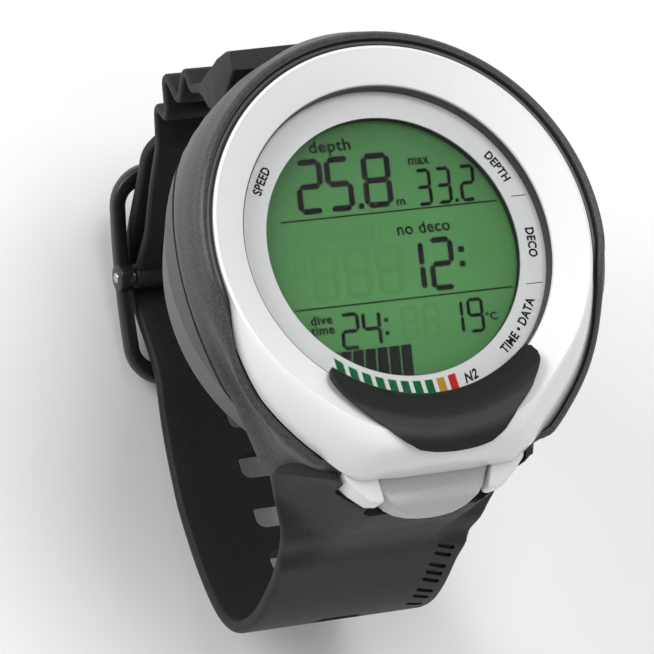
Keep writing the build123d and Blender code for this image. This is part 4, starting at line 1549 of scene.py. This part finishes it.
# ------------------------------------------------------------------ mode button
@dataclass
class ModeButton(Assembly):
    """Grey key at 6 o'clock with a scooped ledge for the finger."""

    plan: tuple = ((9.2, -33.0), (9.2, -35.0), (8.9, -36.4), (8.3, -37.7), (7.3, -38.9), (5.8, -39.9),
                   (4.0, -40.5), (2.0, -40.8), (0.0, -40.9))
    side: tuple = ((-33.6, 17.2), (-34.6, 17.2), (-35.3, 16.8), (-36.0, 16.1), (-36.8, 15.75), (-37.8, 15.65),
                   (-38.6, 15.7), (-39.3, 15.35), (-40.0, 14.3), (-41.2, 11.4), (-33.6, 10.9))

    blank_half: float = 12.0
    blank_low: float = 10.0
    blank_high: float = 20.0
    rounding: float = 0.4

    def build(self) -> None:
        """Make and dress the key: its side view cut to its plan."""
        key = prism("mode_key", self.side, lambda y, z, x: mm(x, y, z), -self.blank_half, self.blank_half)
        outline = [*self.plan, *((-x, y) for x, y in reversed(self.plan[:-1]))]
        blank = prism("key_blank", outline, mm, self.blank_low, self.blank_high)
        modify(key, "BOOLEAN", operation="INTERSECT", object=blank, solver="EXACT")
        bpy.data.objects.remove(blank)
        round_edges(key, self.rounding, 3)
        shade(key, 60)
        self.fit(key, Finish.BUTTON, "button", "button_plastic", "button_cap")


# ------------------------------------------------------------------ carried-over pieces
@dataclass
class Works(Assembly):
    """The plain pieces that keep their shape and only get a finish."""

    finishes: dict[Finish, tuple[str, ...]] = field(default_factory=lambda: {
        Finish.CASE: ("rear_cover", "battery_door"),
        Finish.SEAL: ("case_o_ring", "lens_gasket", "sensor_o_ring", "door_o_ring", "stem_o_ring",
                      "contact_strips"),
        Finish.HOLDER: ("display_holder", "tact_switch", "switch_plunger"),
        Finish.DIAL: ("dial_ring",),
        Finish.FILM: ("front_polarizer", "rear_polarizer"),
        Finish.GLASS: ("front_glass", "rear_glass"),
        Finish.GUIDE: ("backlight_guide",),
        Finish.WHITE_PART: ("backlight_leds",),
        Finish.BOARD: ("main_board",),
        Finish.CHIP: ("processor", "memory_chip"),
        Finish.TAN_PART: ("capacitors",),
        Finish.BRASS: ("buzzer", "plus_contact", "minus_contact"),
        Finish.STEEL: ("rear_screws", "board_screws", "crystal", "pressure_sensor", "water_contacts",
                       "battery", "button_stem", "stem_clip", "button_spring", "lower_strap_pin",
                       "upper_strap_pin")})

    def build(self) -> None:
        """Give each piece its finish."""
        for finish, names in self.finishes.items():
            for name in names:
                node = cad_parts[name]
                node.data.materials.clear()
                node.data.materials.append(finish.material)
                LOG.info("%s: %s", name, finish.name.lower())


# ------------------------------------------------------------------ studio
@dataclass
class Studio:
    """Pale floor, soft lights and the camera."""

    eye: Vector = field(default_factory=lambda: mm(-250.3, -156.8, 559.7))
    right: tuple = (0.9146, -0.2122, 0.3442)
    up: tuple = (0.1061, 0.9473, 0.3021)
    back: tuple = (-0.3902, -0.2398, 0.8890)
    lens: float = 220.2
    floor_half: float = 3.0

    def floor(self) -> None:
        """Wide floor under the strap, dressed."""
        clear_selection()
        level = cad_box[0].z - 0.0006
        bpy.ops.mesh.primitive_grid_add(x_subdivisions=2, y_subdivisions=2, size=2 * self.floor_half,
                                        location=(0, 0, level))
        floor = bpy.context.object
        floor.name = "studio_floor"
        floor.data.materials.append(Finish.FLOOR.material)

    def light(self, name: str, place: tuple, size: float, power: float) -> None:
        """Square soft light that looks at the object."""
        clear_selection()
        bpy.ops.object.light_add(type="AREA", location=place)
        lamp = bpy.context.object
        lamp.name = name
        lamp.data.size = size
        lamp.data.energy = power
        lamp.rotation_euler = (-Vector(place)).to_track_quat("-Z", "Y").to_euler()

    def build(self) -> None:
        """Set the stage."""
        self.floor()
        self.light("key_light", (-0.75, 0.45, 0.55), 0.5, 6.0)
        self.light("fill_light", (0.3, -0.9, 0.7), 0.9, 0.7)
        self.light("top_light", (0.15, 0.25, 1.3), 0.8, 10.0)
        world = bpy.data.worlds.new("studio_air")
        world.use_nodes = True
        world.node_tree.nodes["Background"].inputs[0].default_value = (1, 1, 1, 1)
        world.node_tree.nodes["Background"].inputs[1].default_value = 0.42
        bpy.context.scene.world = world
        bpy.ops.object.camera_add(location=(0, 0, 0))
        camera = bpy.context.object
        turn = Matrix((self.right, self.up, self.back)).transposed().to_4x4()
        camera.matrix_world = Matrix.Translation(self.eye) @ turn
        camera.data.lens = self.lens
        camera.data.sensor_width = 36.0
        camera.data.clip_start, camera.data.clip_end = 0.01, 20.0
        bpy.context.scene.camera = camera
        bpy.context.scene.view_settings.view_transform = "Standard"


def main() -> None:
    """Build the object and its stage."""
    logging.basicConfig(level=logging.INFO, format="%(name)s: %(message)s")
    Studio().build()
    Works().build()
    Case().build()
    Bezel().build()
    Display().build()
    LongStrap().build()
    ShortStrap().build()
    Buckle().build()
    ModeButton().build()


if __name__ == "__main__":
    main()
